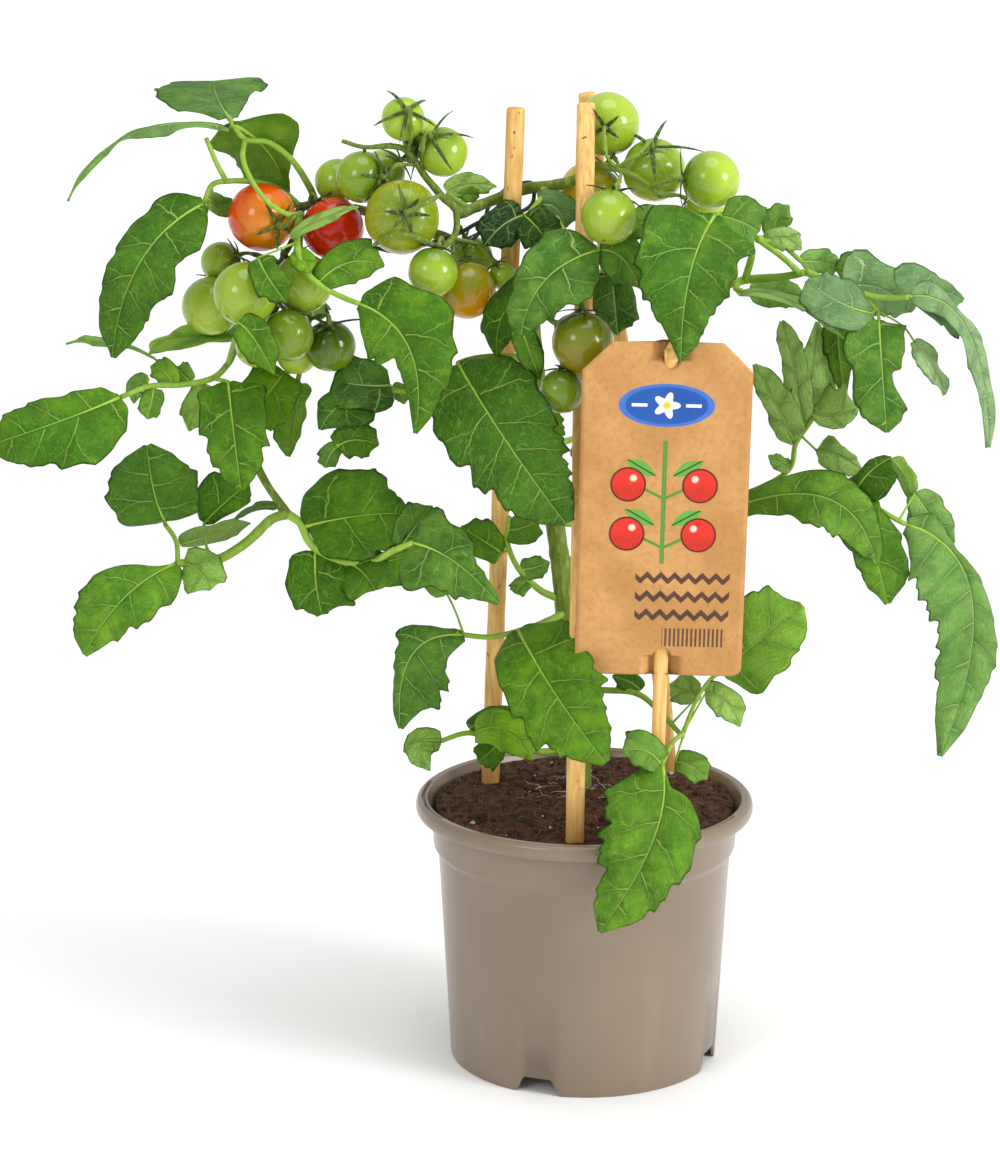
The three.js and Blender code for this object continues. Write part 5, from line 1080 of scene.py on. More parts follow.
leaves = {
    "leaf_front_rim": {"stalks": [
        [(573, 690, 12), (602, 690, 6), (638, 694, -4), (660, 712, -14), (683, 737, -26)],
        [(683, 733, -26), (671, 745, -44), (662, 764, -54)],
    ], "leaflets": [
        leaflet((662, 764, -54), (654, 838, -74), (599, 932, -88), 40, (1, 0, 0.9), tone=0.65, chill=0.1,
            edges=((1, 1.5, 2, 11, 14, 15.8, 18, 17, 15.5, 15, 12, 6.7, 0.5),
            (12, 15, 18, 22, 24.5, 24.5, 17.5, 20, 18.5, 12.7, 11.5, 8.3, 1))),
        leaflet((661, 764, -54), (645, 750, -60), (622, 752, -62), 16, (1, 0, 0.8), tone=0.8, chill=0.3),
        leaflet((675, 762, -30), (690, 765, -32), (708, 779, -34), 13, (0.8, 0, 1), tone=0.85, chill=0.3),
        leaflet((722, 672, -22), (760, 640, -32), (802, 605, -34), 32,
            route=[(683, 733, -26), (698, 697, -24), (712, 678, -22)], depth=0.07, tone=1,
            edges=((10, 16, 20, 21, 21, 21, 20, 19, 18, 14, 11, 6, 1),
            (10, 15, 16, 16, 16, 15, 16, 15, 13, 12, 10, 7, 1))),
        leaflet((700, 694, -20), (685, 690, -12), (669, 684, -6), 12, tone=1.5, chill=0.3),
        leaflet((705, 694, -24), (725, 701, -28), (740, 727, -30), 12, (1, 0, 0.5), tone=1.4, chill=0.3),
        leaflet((640, 690, -2), (630, 682, 0), (612, 676, 2), 8),
    ]},
    "leaf_cane": {"stalks": [
        [(566, 612, 10), (545, 622, -6), (518, 631, -26), (490, 637, -24), (464, 635, -22)],
    ], "leaflets": [
        leaflet((518, 630, -28), (556, 695, -62), (606, 763, -74), 42, tone=0.6, chill=0,
            edges=((13, 20.5, 23, 22, 21, 22, 18, 18.5, 14.5, 12.5, 10.3, 7, 2),
            (12, 14, 16, 16.3, 16.5, 16.6, 18, 18.2, 18.3, 14, 11, 6.8, 1.5))),
        leaflet((464, 635, -22), (412, 655, -34), (400, 729, -38), 26, (1, -0.1, 0.4), tone=0.55, chill=0.3,
            edges=((5, 7, 9, 13, 15, 17, 18, 19, 18, 17, 12, 7, 1),
            (3, 3, 4, 6, 9, 10, 7, 5, 4, 3, 2.5, 2, 0.5))),
        leaflet((447, 594, -16), (438, 575, -12), (430, 560, -8), 14,
            route=[(464, 633, -22), (454, 608, -18)], tone=1, chill=0.3),
    ]},
    "leaf_front_right": {"stalks": [
        [(745, 280, 0), (752, 250, -8), (742, 226, -18), (728, 216, -26), (715, 214, -32)],
    ], "leaflets": [
        leaflet((715, 215, -32), (690, 275, -56), (681, 361, -66), 44, (1, 0, 0.4), depth=0.07, tone=0.45,
            chill=0.1, edges=((19, 20, 20.5, 16.3, 17, 17, 16, 15.7, 12, 10, 8.3, 6, 0.7),
            (7, 16, 23.7, 23.4, 22.3, 21.5, 21.5, 18.7, 14.5, 10.5, 6.7, 3.3, 0.5))),
        leaflet((722, 216, -32), (742, 222, -36), (760, 232, -34), 20, (1, 0, 0.4), tone=0.7, chill=0.3),
        leaflet((665, 222, -22), (645, 222, -20), (620, 226, -18), 14, (0.8, -0.4, 0.5),
            route=[(712, 216, -30), (690, 222, -22)], tone=1, chill=0.3),
    ]},
    "leaf_centre_left": {"stalks": [
        [(300, 214, 0), (297, 240, -22), (304, 268, -30), (320, 285, -32), (342, 297, -34),
         (360, 304, -40)],
    ], "leaflets": [
        leaflet((360, 304, -40), (410, 350, -56), (415, 434, -58), 36, (1, 0, 0.45), chill=0,
            edges=((9.8, 14.5, 16.5, 18.2, 21.9, 22.4, 17, 16.5, 13.3, 10.5, 7.1, 4.8, 0.5),
            (4.4, 8.6, 11, 13.3, 14.5, 15.6, 6.2, 6.2, 5.8, 4.8, 3.7, 2.3, 0.5))),
        leaflet((320, 281, -32), (350, 262, -30), (384, 265, -32), 17, (1, 0, 0.5), tone=0.7, chill=0.1),
        leaflet((290, 236, -22), (325, 218, -26), (358, 206, -30), 9, (0.6, 0, 1), tone=1.5, chill=0.3),
        leaflet((258, 258, -30), (270, 280, -38), (287, 303, -38), 13,
            route=[(296, 244, -22), (278, 250, -27)], chill=0),
        leaflet((294, 250, -24), (303, 260, -30), (309, 272, -34), 9, tone=0.85, chill=0),
    ]},
    "leaf_centre": {"stalks": [
        [(537, 362, 15), (522, 358, 2), (500, 356, -4), (475, 358, -10), (458, 363, -20)],
    ], "leaflets": [
        leaflet((458, 364, -22), (507, 442, -50), (566, 524, -54), 39, (1, -0.1, 0.35), tone=0.4, chill=0.1,
            edges=((9, 18, 20.5, 22, 22.5, 23, 21, 18.7, 17.8, 15, 12.2, 9.2, 3.6),
            (12, 16, 20, 23, 20.7, 21.7, 17.7, 20.5, 14.9, 15.1, 13, 8.2, 1.9))),
    ]},
    "leaf_upper_centre": {"stalks": [
        [(552, 200, 8), (560, 225, -12), (575, 243, -22), (598, 250, -28)],
    ], "leaflets": [
        leaflet((598, 250, -30), (545, 280, -42), (521, 335, -46), 33, (1, -0.2, 0.5), tone=0.55, chill=0.3,
            edges=((6, 11, 14, 17, 18.5, 17, 16.5, 14, 12, 11, 8, 5, 2),
            (6, 11, 13.5, 16.5, 14, 13, 12, 11, 10, 9, 8, 6, 2))),
        leaflet((540, 290, -20), (505, 310, -26), (496, 358, -28), 20, (0.7, -0.7, 0.1), tone=0.2, chill=0),
        leaflet((600, 250, -28), (622, 258, -30), (638, 284, -26), 19, (1, 0.2, 0.3), tone=0.55),
        leaflet((518, 320, -38), (529, 350, -37), (540, 380, -36), 10, tone=0.55, chill=0.1),
        leaflet((612, 276, -14), (615, 305, -16), (618, 336, -14), 17, (0.9, 0, 0.3),
            route=[(600, 250, -28), (606, 264, -20)], tone=0.3, chill=0.3),
    ]},
    "leaf_lower_middle": {"radii": (1.8, 1.6, 1.6, 1.3), "tone": 0.8, "stalks": [
        [(288, 514, -2), (300, 523, -6), (308, 540, -12), (317, 550, -16), (346, 562, -24), (373, 561, -28),
         (393, 551, -32), (413, 543, -36)],
    ], "leaflets": [
        leaflet((413, 543, -36), (455, 562, -46), (499, 604, -50), 34, (1, 0, 0.4), tone=0.6, chill=0.3,
            edges=((12.5, 17, 16.8, 11.8, 12, 12.5, 9.8, 6.3, 4.6, 4, 2.8, 2.1, 0.5),
            (19, 18.7, 18.6, 17.7, 16.4, 15, 13.8, 12, 11, 8.8, 5.8, 3.1, 0.5))),
        leaflet((303, 527, -8), (357, 516, -20), (412, 513, -26), 38, (1, 0, 0.6), chill=0,
            edges=((17.5, 18, 19.5, 19.7, 20, 20.4, 20.4, 19.4, 14.6, 11, 8, 4.5, 0.5),
            (1.5, 8, 13.7, 16, 17, 18, 18.8, 19.3, 17.8, 16, 13.7, 11.7, 6))),
        leaflet((315, 552, -16), (316, 583, -28), (322, 614, -34), 28, tone=0.35, chill=0,
            edges=((8, 11, 13, 14, 15, 15, 15, 15, 14, 12, 9, 6, 2),
            (8, 10, 10, 11, 12, 13, 13, 12, 11, 9, 7, 5, 2))),
        leaflet((346, 562, -24), (362, 572, -30), (375, 590, -34), 22, tone=0.45, chill=0),
        leaflet((345, 563, -24), (384, 562, -30), (425, 548, -38), 24, (1, 0, 0.4), tone=0.55, chill=0,
            edges=((3, 4, 4, 4, 4, 4, 4, 4, 3), (2, 9, 11, 11, 10, 10, 10, 9, 4))),
        leaflet((400, 548, -32), (414, 528, -30), (432, 505, -26), 16, (1, 0, 0.5), tone=0.6, chill=0.3),
    ]},
    "leaf_left_reach": {"stalks": [
        [(262, 370, 16), (240, 345, 8), (228, 364, -4), (213, 378, -12), (180, 385, -18), (150, 386, -24),
         (121, 397, -30)],
        [(228, 364, -4), (233, 345, -22), (238, 324, -38)],
    ], "leaflets": [
        leaflet((153, 357, -5), (112, 343, -15), (66, 342, -22), 14, (0.15, 0, 1), route=[(180, 384, -17)],
            tone=1, chill=0.3),
        leaflet((230, 336, 2), (190, 336, 4), (150, 342, 8), 22, (0.45, 0, 1), tone=1.5, chill=0,
            edges=((4, 4, 4, 5, 8, 9, 10, 10, 11, 12, 11, 8, 2), (3, 4, 5, 6, 7, 8, 8, 8, 8, 6, 4, 3, 1))),
        leaflet((120, 397, -30), (60, 421, -42), (-14, 446, -48), 36, (1, 0, 0.4), depth=0.07, chill=0,
            edges=((11, 14, 16, 19, 21, 22, 20, 18, 15, 13, 11, 7, 1),
            (5, 7, 7, 8, 9, 9, 10, 11, 11, 10, 9, 6, 1))),
        leaflet((154, 388, -24), (151, 404, -28), (147, 419, -30), 9, tone=0.7),
        leaflet((172, 384, -19), (165, 372, -17), (150, 366, -14), 10, (0.8, 0, 0.6), tone=1, chill=0.1),
        leaflet((146, 386, -23), (137, 385, -18), (134, 404, -12), 8, tone=1, chill=0.3),
        leaflet((190, 382, -16), (182, 373, -13), (176, 366, -10), 8, tone=1),
        leaflet((228, 382, -20), (233, 427, -34), (241, 490, -40), 29, (1, 0, 0.25), chill=0,
            edges=((8, 12, 14, 15, 15, 14, 13, 12.5, 12, 11, 9, 6, 1),
            (8, 12, 12, 12, 12, 12, 12, 11, 11, 10, 8, 6, 1))),
        leaflet((205, 384, -12), (198, 405, -12), (189, 430, -10), 12, (-1, 0, 0.3), tone=1.05, chill=0),
        leaflet((238, 322, -38), (255, 340, -42), (274, 375, -40), 14, tone=0.55, chill=0),
    ]},
    "leaf_left_hanging": {"stalks": [
        [(300, 250, 19), (310, 300, 26), (305, 350, 24), (298, 380, 14)],
    ], "leaflets": [
        leaflet((285, 372, 6), (268, 394, 0), (246, 425, -6), 24, (1, 0, 0.5), route=[(300, 372, 17)],
            tone=0.85, chill=0),
        leaflet((300, 384, 12), (296, 415, 10), (288, 456, 8), 20, (-1, 0, 0.2), tone=0.7, chill=0,
            edges=((6, 9, 11, 12, 12, 12, 11, 10, 9, 8, 6, 4, 0.5),
            (5, 5, 4, 3, 3, 4, 4, 3, 3, 3, 2, 1.5, 0.5))),
    ]},
    "leaf_lower_left": {"radii": (2, 2, 1.9, 1.6), "tone": 0.5, "stalks": [
        [(288, 514, -2), (272, 519, -6), (246, 543, -12), (214, 561, -18), (190, 563, -20),
         (176, 563, -22)],
        [(178, 563, -22), (176, 541, -18), (165, 524, -14)],
    ], "leaflets": [
        leaflet((165, 521, -14), (154, 492, -24), (147, 446, -30), 40, (1, 0, -0.1), depth=0.07, sweep=0.3,
            tone=0.4, chill=0.1,
            edges=((14.6, 16.8, 16.5, 17, 17, 18, 18.4, 17.6, 16.4, 14.8, 12.4, 8.6, 1),
            (16, 15.5, 15.5, 15.5, 17, 18, 17.7, 18.4, 18.4, 17, 14, 9, 1))),
        leaflet((204, 523, -8), (228, 500, -6), (250, 482, 0), 20, (1, 0, 0.2),
            route=[(214, 561, -18), (206, 545, -12)], tone=0.4, chill=0,
            edges=((5, 8, 10, 11, 11.5, 12, 12, 12, 10, 8, 5, 3, 0.5),
            (2, 3, 3.5, 4, 4.5, 5, 5.5, 6, 6, 6, 5, 3, 0.5))),
        leaflet((176, 563, -22), (124, 598, -38), (84, 655, -44), 30, (1, 0, 0.45), tone=0.65, chill=0.1,
            edges=((8, 10, 12, 13, 13, 14, 14, 12, 10, 9, 6, 4, 1),
            (1, 2, 4, 7, 10, 12, 14, 15, 15, 13, 10, 7, 1))),
        leaflet((184, 563, -22), (200, 572, -28), (210, 590, -32), 18, tone=1.1, chill=0.3),
        leaflet((195, 565, -20), (207, 572, -22), (217, 577, -24), 9),
        leaflet((180, 543, -12), (212, 534, -10), (250, 522, -6), 17, (-0.7, 0, 0.8), chill=0.3),
        leaflet((277, 507, 0), (255, 508, 2), (232, 520, 4), 8, (0.3, 0, 1), tone=0.7, chill=0.3),
    ]},
    "leaf_far_left": {"stalks": [
        [(300, 207, 9), (280, 190, 12), (255, 182, 8), (230, 181, 2), (212, 185, -5), (204, 203, -8)],
    ], "leaflets": [
        leaflet((204, 203, -8), (140, 262, -28), (112, 358, -30), 32, (1, -0.2, 0.35), depth=0.07, tone=0.4,
            chill=0.1, edges=((6, 11, 14, 17, 14, 13, 17, 18, 14, 12, 10, 7, 1),
            (6, 10, 11, 11, 12, 12, 11, 11, 10, 10, 8, 5, 1))),
        leaflet((208, 198, -7), (220, 204, 2), (232, 198, 8), 12, (1, 0, 0.5), tone=1, chill=0.3),
    ]},
    "leaf_top_left": {"stalks": [
        [(316, 204, 17), (309, 186, 8), (290, 158, 2), (268, 142, 0), (245, 139, -4), (231, 121, -4)],
        [(245, 139, -4), (243, 158, -11), (252, 181, -18), (269, 203, -23), (287, 214, -21),
         (297, 214, -13)],
        [(226, 181, -8), (216, 162, -11), (206, 138, -9)],
    ], "leaflets": [
        leaflet((229, 117, -4), (218, 98, 25), (214, 83, 50), 46, (0.25, 0, 1), depth=0.05, sweep=0.08,
            tone=0.6, chill=0.5, edges=((8, 14, 19, 23, 24, 24.5, 17), (2, 5, 9, 14, 18, 21, 17))),
        leaflet((229, 127, -4), (131, 134, -12), (66, 201, -20), 20, (0.25, 0, 1), depth=0.06, sweep=0.2,
            tone=0.9, chill=0.6, edges=((7, 7, 7, 9, 14, 10, 4, 1.5, 1.5, 1.5, 1.5, 1.2, 0.3),
            (2, 2, 2, 2, 2, 2, 2, 2, 2, 2, 1.5, 1, 0.3))),
        leaflet((232, 122, -6), (268, 150, 6), (288, 192, 14), 40, (-1, 0.3, 0.6), depth=0.04, sweep=0.2,
            chill=0, edges=((15, 18, 18, 17, 17, 17, 17, 17, 18, 18, 17, 12, 3),
            (8, 15, 19, 20, 19, 17, 13.5, 10, 7, 5, 3.5, 2, 1))),
    ]},
    "leaf_dark_inner": {"stalks": [
        [(541, 410, 15), (520, 404, 19), (500, 400, 19), (450, 395, 10), (395, 390, 0), (372, 385, -4)],
        [(372, 388, -4), (350, 425, -8), (337, 447, -12)],
    ], "leaflets": [
        leaflet((390, 385, -2), (362, 385, -8), (333, 380, -8), 22, (1, 0, 0.4), tone=0.6, chill=0.3),
        leaflet((372, 392, -4), (340, 405, -12), (320, 430, -12), 22, tone=0.55, chill=0.1,
            edges=((8, 11, 12, 12, 12, 11, 10, 9, 8, 7, 5, 3, 0.5),
            (8, 11, 11, 12, 12, 10, 7, 7, 7, 5, 4, 2, 0.5))),
        leaflet((337, 447, -12), (355, 440, -14), (379, 445, -14), 14, tone=0.65, chill=0),
        leaflet((337, 447, -12), (330, 455, -14), (325, 468, -14), 8, tone=0.8, chill=0.3),
        leaflet((392, 386, 0), (400, 392, 2), (404, 404, 2), 6, (-1, 0, 0.3)),
    ]},
    "leaf_dark_top": {"stalks": [
        [(545, 188, 7), (540, 200, -4), (530, 212, -6)],
    ], "leaflets": [
        leaflet((524, 215, -6), (503, 225, -12), (484, 246, -14), 16, tone=0, chill=0.6),
        leaflet((524, 215, -6), (535, 225, -14), (549, 243, -16), 17, (0.8, -0.3, 0.6), tone=0.1, chill=0),
        leaflet((540, 205, -4), (556, 208, -6), (566, 228, -8), 15, (1, 0.1, 0.3), tone=1, chill=0.8),
    ]},
    "leaf_right_upper": {"stalks": [
        [(806, 272, -12), (843, 287, -16), (878, 297, -20), (910, 297, -28)],
        [(860, 292, -18), (878, 311, -18)],
    ], "leaflets": [
        leaflet((873, 313, -20), (840, 302, -26), (807, 280, -26), 17, (1, -0.3, 0.5), tone=0.85, chill=1,
            edges=((6, 8, 9, 9.5, 10, 10, 10.5, 10.5, 10.5, 10, 9, 6, 0.5),
            (5, 7, 8, 8.5, 9, 9, 9, 9, 9, 8, 7, 4, 0.5))),
        leaflet((849, 287, -16), (880, 288, -12), (914, 310, -12), 24, (1, 0, 0.7), tone=1, chill=0.9,
            edges=((8, 12, 14, 15, 14, 12, 11, 11, 11, 10, 8, 5, 0.5),
            (6, 10, 12, 13, 13, 13, 12, 11, 10, 9, 7, 4, 0.5))),
        leaflet((850, 280, -10), (852, 262, 4), (862, 250, 12), 11, (0.6, 0, 1), tone=0.55, chill=0.1),
        leaflet((910, 297, -28), (935, 290, -24), (964, 300, -20), 27, (1, 0, 0.7), tone=0.8, chill=1,
            edges=((12, 15, 13, 12, 11, 9, 8, 7, 6, 5, 3.5, 2, 0.5),
            (6, 10, 13, 15, 16, 16.5, 16.5, 16, 14, 11, 6, 3, 0.5))),
        leaflet((912, 296, -28), (968, 330, -34), (990, 448, -38), 20, (0.7, 0.4, 0.5), tone=1.1, chill=1,
            edges=((6, 7, 6, 4, 3, 3, 4, 4, 4, 4, 4, 3, 0.5), (6, 7, 7, 6, 6, 6, 5, 5, 5, 4, 3, 2, 0.5))),
        leaflet((914, 341, -24), (932, 362, -28), (945, 395, -28), 11, (0.9, 0.5, 0.3),
            route=[(878, 311, -18), (904, 327, -22)], tone=1.35, chill=0.8,
            edges=((3, 3, 3, 4, 4, 4, 3, 2, 2, 3, 4, 3, 0.5), (3, 3, 5, 6, 6, 7, 6, 6, 5, 4, 2, 1, 0.5))),
        leaflet((879, 320, -22), (882, 365, -32), (887, 433, -34), 22, (1, 0, 0.2), tone=0.55, chill=0.3,
            edges=((5, 11, 10.5, 10, 9, 8.5, 7, 4, 4, 6, 8, 6, 0.5),
            (5, 10, 13, 14, 14, 13, 12, 12, 12, 12, 10, 6, 0.5))),
        leaflet((838, 300, 0), (838, 340, 6), (845, 402, 8), 12, (-1, 0, 0.1), tone=0.15, chill=0),
    ]},
    "leaf_right_shoot": {"stalks": [
        [(757, 239, -8), (770, 238, -4), (780, 236, 2)],
        [(758, 240, -8), (780, 244, -8), (802, 262, -8)],
    ], "leaflets": [
        leaflet((780, 236, 2), (776, 222, 2), (789, 206, 0), 11, (1, 0, 0), tone=0.95, chill=0.4),
        leaflet((766, 241, -8), (784, 238, -10), (802, 250, -10), 9, tone=1.5, chill=0.4),
        leaflet((802, 262, -8), (822, 262, 0), (845, 268, 8), 10, tone=1, chill=0.45),
    ]},
    "leaf_right_edge": {"stalks": [
        [(737, 283, -1), (736, 289, -5), (742, 291, -8)],
        [(737, 289, -5), (741, 294, 3), (750, 293, 9)],
    ], "leaflets": [
        leaflet((742, 291, -8), (795, 303, -14), (848, 341, -16), 20, (0.1, 0.2, 1), tone=1.5, chill=0.4),
        leaflet((750, 293, 9), (780, 293, 16), (806, 298, 20), 12, tone=1, chill=0.45),
    ]},
    "leaf_right_upright": {"stalks": [
        [(556, 522, 12), (600, 525, 16), (640, 520, 22), (700, 505, 22), (760, 488, 20), (790, 468, 14),
         (796, 443, 8), (808, 425, 6), (835, 386, 4)],
    ], "leaflets": [
        # painted light: tones above 1 brighten these leaflets beyond their own green, in place of the light
        # that the card keeps off them
        leaflet((798, 425, 8), (795, 371, 2), (781, 322, -2), 15, (1, -0.3, 0), tone=1.5, chill=0.4,
            edges=((4, 6, 6, 6, 5.5, 5, 5, 4.5, 4.5, 4, 4, 3, 0.5),
            (4, 6, 6, 6, 6, 5.5, 5.5, 5.5, 5, 5, 4, 3, 0.5))),
        leaflet((803, 420, 6), (812, 372, 8), (818, 322, 10), 15, (1, 0.3, 0), tone=1.5, chill=0.4,
            edges=((4, 6, 7, 8, 8, 8, 7, 6, 5, 3.5, 3, 2, 0.5),
            (5, 8, 9, 10, 10, 10, 10, 9, 8, 7, 5, 3, 0.5))),
        leaflet((795, 444, 8), (778, 408, 2), (754, 365, -2), 16, (1, -0.4, 0.2), tone=1.3, chill=0.4,
            edges=((4, 6, 6, 6, 6, 5, 5, 4.5, 4.5, 4.5, 4, 2, 0.5),
            (3, 4, 6, 7, 8, 8, 8, 8, 7, 6.5, 5.5, 4, 0.5))),
        leaflet((812, 412, 5), (835, 415, 0), (857, 408, -4), 18, tone=1.5, chill=0.4,
            edges=((5, 9, 11, 12, 13, 13, 12, 11, 10, 8, 6, 4, 0.5),
            (2, 3, 4, 4.5, 5, 5.5, 5.5, 5, 5, 4, 3, 2, 0.5))),
        leaflet((816, 450, 4), (838, 455, -4), (864, 472, -8), 15, (1, 0, 0.4), tone=1.5, chill=0.4,
            edges=((1, 4, 6, 6, 5.5, 5, 4, 3.5, 3, 3, 2, 1, 0.5),
            (2, 3, 5, 6, 6.5, 7, 7, 7, 6.5, 6, 5, 3, 0.5))),
        leaflet((790, 468, 12), (780, 463, 10), (769, 456, 8), 6, tone=1, chill=0.45),
    ]},
    "leaf_right_low": {"stalks": [
        [(560, 560, 10), (640, 560, 24), (700, 545, 16), (748, 514, -6), (800, 503, -16), (855, 500, -22),
         (905, 524, -28)],
    ], "leaflets": [
        leaflet((740, 505, -14), (832, 500, -30), (877, 566, -34), 28, (1, 0, 0.6), tone=0.7,
            edges=((6, 6, 6.5, 8, 10, 12, 12, 10, 9, 8, 6, 4, 0.5),
            (7, 7, 7, 9, 12, 12, 12, 13, 12, 10, 8, 5, 0.5))),
        leaflet((855, 498, -24), (872, 545, -32), (888, 604, -34), 22, (1, 0, 0.2), tone=0.55, chill=0.1,
            edges=((6, 9, 8, 9, 10, 11, 12, 12, 12, 11, 10, 6, 1),
            (8, 12, 14, 13, 12, 11, 8, 8, 8, 7, 6, 3, 1))),
        leaflet((852, 498, -22), (868, 474, -26), (892, 457, -22), 18, (1, -0.2, 0.4), tone=0.2, chill=0,
            edges=((3, 5, 5, 4, 3.5, 3.5, 3.5, 3.5, 3.5, 3, 2.5, 2, 0.5),
            (4, 7, 9, 10, 10.5, 11, 11, 10.5, 10, 8, 6, 3, 0.5))),
        leaflet((892, 458, -22), (905, 475, -20), (912, 502, -18), 9, (-0.8, 0.5, 0.5), tone=1, chill=0),
        leaflet((915, 493, -22), (931, 516, -24), (955, 543, -24), 14, tone=0.95, chill=0.6),
        leaflet((908, 522, -26), (922, 524, -20), (940, 535, -14), 10),
        leaflet((907, 524, -28), (972, 600, -40), (940, 757, -52), 36, (1, -0.1, 0.35), tone=0.85,
            chill=0.6, edges=((5, 9, 4, 2, 3, 5, 6, 8, 10, 10, 7, 5, 0.5),
            (8, 14, 18, 19, 19, 19, 18, 15, 13, 13, 10, 7, 1))),
    ]},
    "leaf_inner_small": {"stalks": [
        [(562, 600, 10), (540, 590, 6), (518, 568, 0), (507, 540, -2), (509, 516, -2)],
    ], "leaflets": [
        leaflet((507, 530, -2), (522, 528, -4), (539, 520, -2), 13, tone=0.6),
        leaflet((520, 570, 0), (533, 568, 4), (550, 562, 8), 9, tone=0.7, chill=0.3),
        leaflet((527, 580, 2), (520, 587, 0), (515, 594, 0), 7, tone=1, chill=0.3),
        leaflet((502, 553, -2), (482, 540, -6), (461, 527, -8), 15, tone=0.6, chill=0),
    ]},
    "leaf_soil_left": {"stalks": [
        [(576, 720, 12), (562, 745, 8), (548, 752, 4), (533, 750, 0), (500, 741, -8), (467, 733, -14),
         (441, 741, -18)],
    ], "leaflets": [
        leaflet((475, 733, -14), (505, 730, -22), (533, 761, -24), 18, (0.8, 0, 0.8), tone=1, chill=0),
        leaflet((500, 742, -6), (490, 752, -2), (478, 762, -2), 12, chill=0),
        leaflet((520, 748, -2), (523, 738, 2), (528, 726, 6), 12),
        leaflet((441, 741, -18), (420, 745, -24), (430, 771, -26), 12, (1, 0, 0.4), tone=1.25, chill=0.3),
        leaflet((470, 728, -10), (500, 714, -4), (532, 722, 2), 12, (0.4, 0, 1)),
    ]},
    "leaf_behind_top": {"stalks": [
        [(470, 209, 2), (458, 202, 8), (448, 193, 14)],
    ], "leaflets": [
        leaflet((448, 192, 14), (470, 184, 18), (497, 186, 22), 12, (0.6, 0, 0.8), tone=1.5, chill=0.3),
        leaflet((460, 198, 12), (470, 195, 12), (480, 197, 14), 6, tone=1),
    ]},
    "leaf_back_right": {"stalks": [
        [(545, 450, 15), (570, 440, 50), (610, 430, 82), (650, 440, 100)],
    ], "leaflets": [
        leaflet((650, 440, 100), (690, 470, 112), (712, 540, 110), 36, (-0.2, 0.3, 1)),
        leaflet((620, 432, 85), (640, 395, 92), (672, 370, 96), 26, (0.2, 0.3, 1)),
        leaflet((600, 432, 74), (602, 470, 86), (612, 520, 92), 26, (-0.5, -0.2, 0.8)),
        leaflet((640, 438, 96), (650, 480, 104), (655, 540, 106), 24, (-0.4, 0, 0.8)),
    ]},
    "leaf_back_centre": {"stalks": [
        [(537, 370, 17), (530, 385, 45), (520, 400, 70), (512, 420, 85)],
    ], "leaflets": [
        leaflet((512, 420, 85), (505, 440, 95), (512, 480, 100), 26, (-0.6, 0, 0.8)),
        leaflet((525, 392, 58), (500, 400, 72), (480, 410, 78), 20, (-0.4, 0, 1)),
        leaflet((520, 402, 72), (540, 420, 88), (552, 450, 92), 20, (-0.4, 0, 1), tone=0.65, chill=0),
    ]},
    "leaf_back_left": {"stalks": [
        [(294, 298, 20), (290, 285, 45), (280, 290, 65), (268, 300, 78)],
    ], "leaflets": [
        leaflet((268, 300, 78), (250, 318, 86), (240, 345, 88), 24, (-0.5, -0.3, 0.8)),
        leaflet((285, 287, 55), (305, 300, 66), (322, 322, 70), 22, (-0.4, 0.3, 0.9)),
        leaflet((277, 292, 68), (262, 285, 76), (240, 283, 80), 20, (-0.3, -0.3, 1)),
    ]},
}
darkLeaves = ("leaf_dark_inner", "leaf_dark_top", "leaf_left_hanging")
blade = {
    "tone": 0.5, "chill": 0.2, "sweep": 0.78, "bow": 1.12, "spread": 1.12, "veinGap": 14.5, "depth": 0.2,
    "edgeDepth": 0.13, "teeth": 24, "toothTip": 0.76, "rounding": 0.55, "corner": 0.16, "full": 0.5,
    "rim": 0.35, "rows": 1.1, "columns": 1.2, "thick": 0.34, "fold": 0.16, "quilt": 1.05, "ripple": 0.072,
    "curl": 0.12, "uneven": 0.4, "groove": 0.35,
}


# Teeth: in each step between side veins the margin swells and falls back sharply, as far as a random depth
# that fades towards the tip, and it wavers a little all along.
def teeth(s, phase, depth, seed):
    part = phase % 1
    tip = blade["toothTip"]
    tooth = np.where(part < tip, (part / tip) ** 0.8, 1 - ((part - tip) / (1 - tip)) ** 0.75)
    part = (phase * 2 + 0.2) % 1
    tooth = tooth + 0.45 * np.where(part < tip, part / tip, 1 - ((part - tip) / (1 - tip)) ** 0.75) - 0.2
    draws = np.random.default_rng(seed).uniform(0.3, 1.6, blade["teeth"])
    depth = depth * np.interp(phase, np.arange(len(draws)) + 0.5, draws) * (1.3 - 0.85 * s)
    fade = smoothStep(s, 0.01, 0.1) * (1 - smoothStep(s, 0.74, 0.96))
    waver = 0.035 * lumps(s * 40, phase * 3, 2.3, seed % 89) + 0.03 * lumps(s * 40, phase, 5.5, seed % 83)
    return 1 + depth * fade * (tooth - 0.6) + fade * waver


# How far a row's end lies ahead of its start on the midrib, as a share of the length: side veins run
# forwards, but the lowest rows run back, which rounds the base.
def ahead(s, margin, length, sweep):
    return sweep * (1.35 * smoothStep(s, 0, 0.4) - 0.35 - 0.6 * smoothStep(s, 0.6, 1)) * margin / length


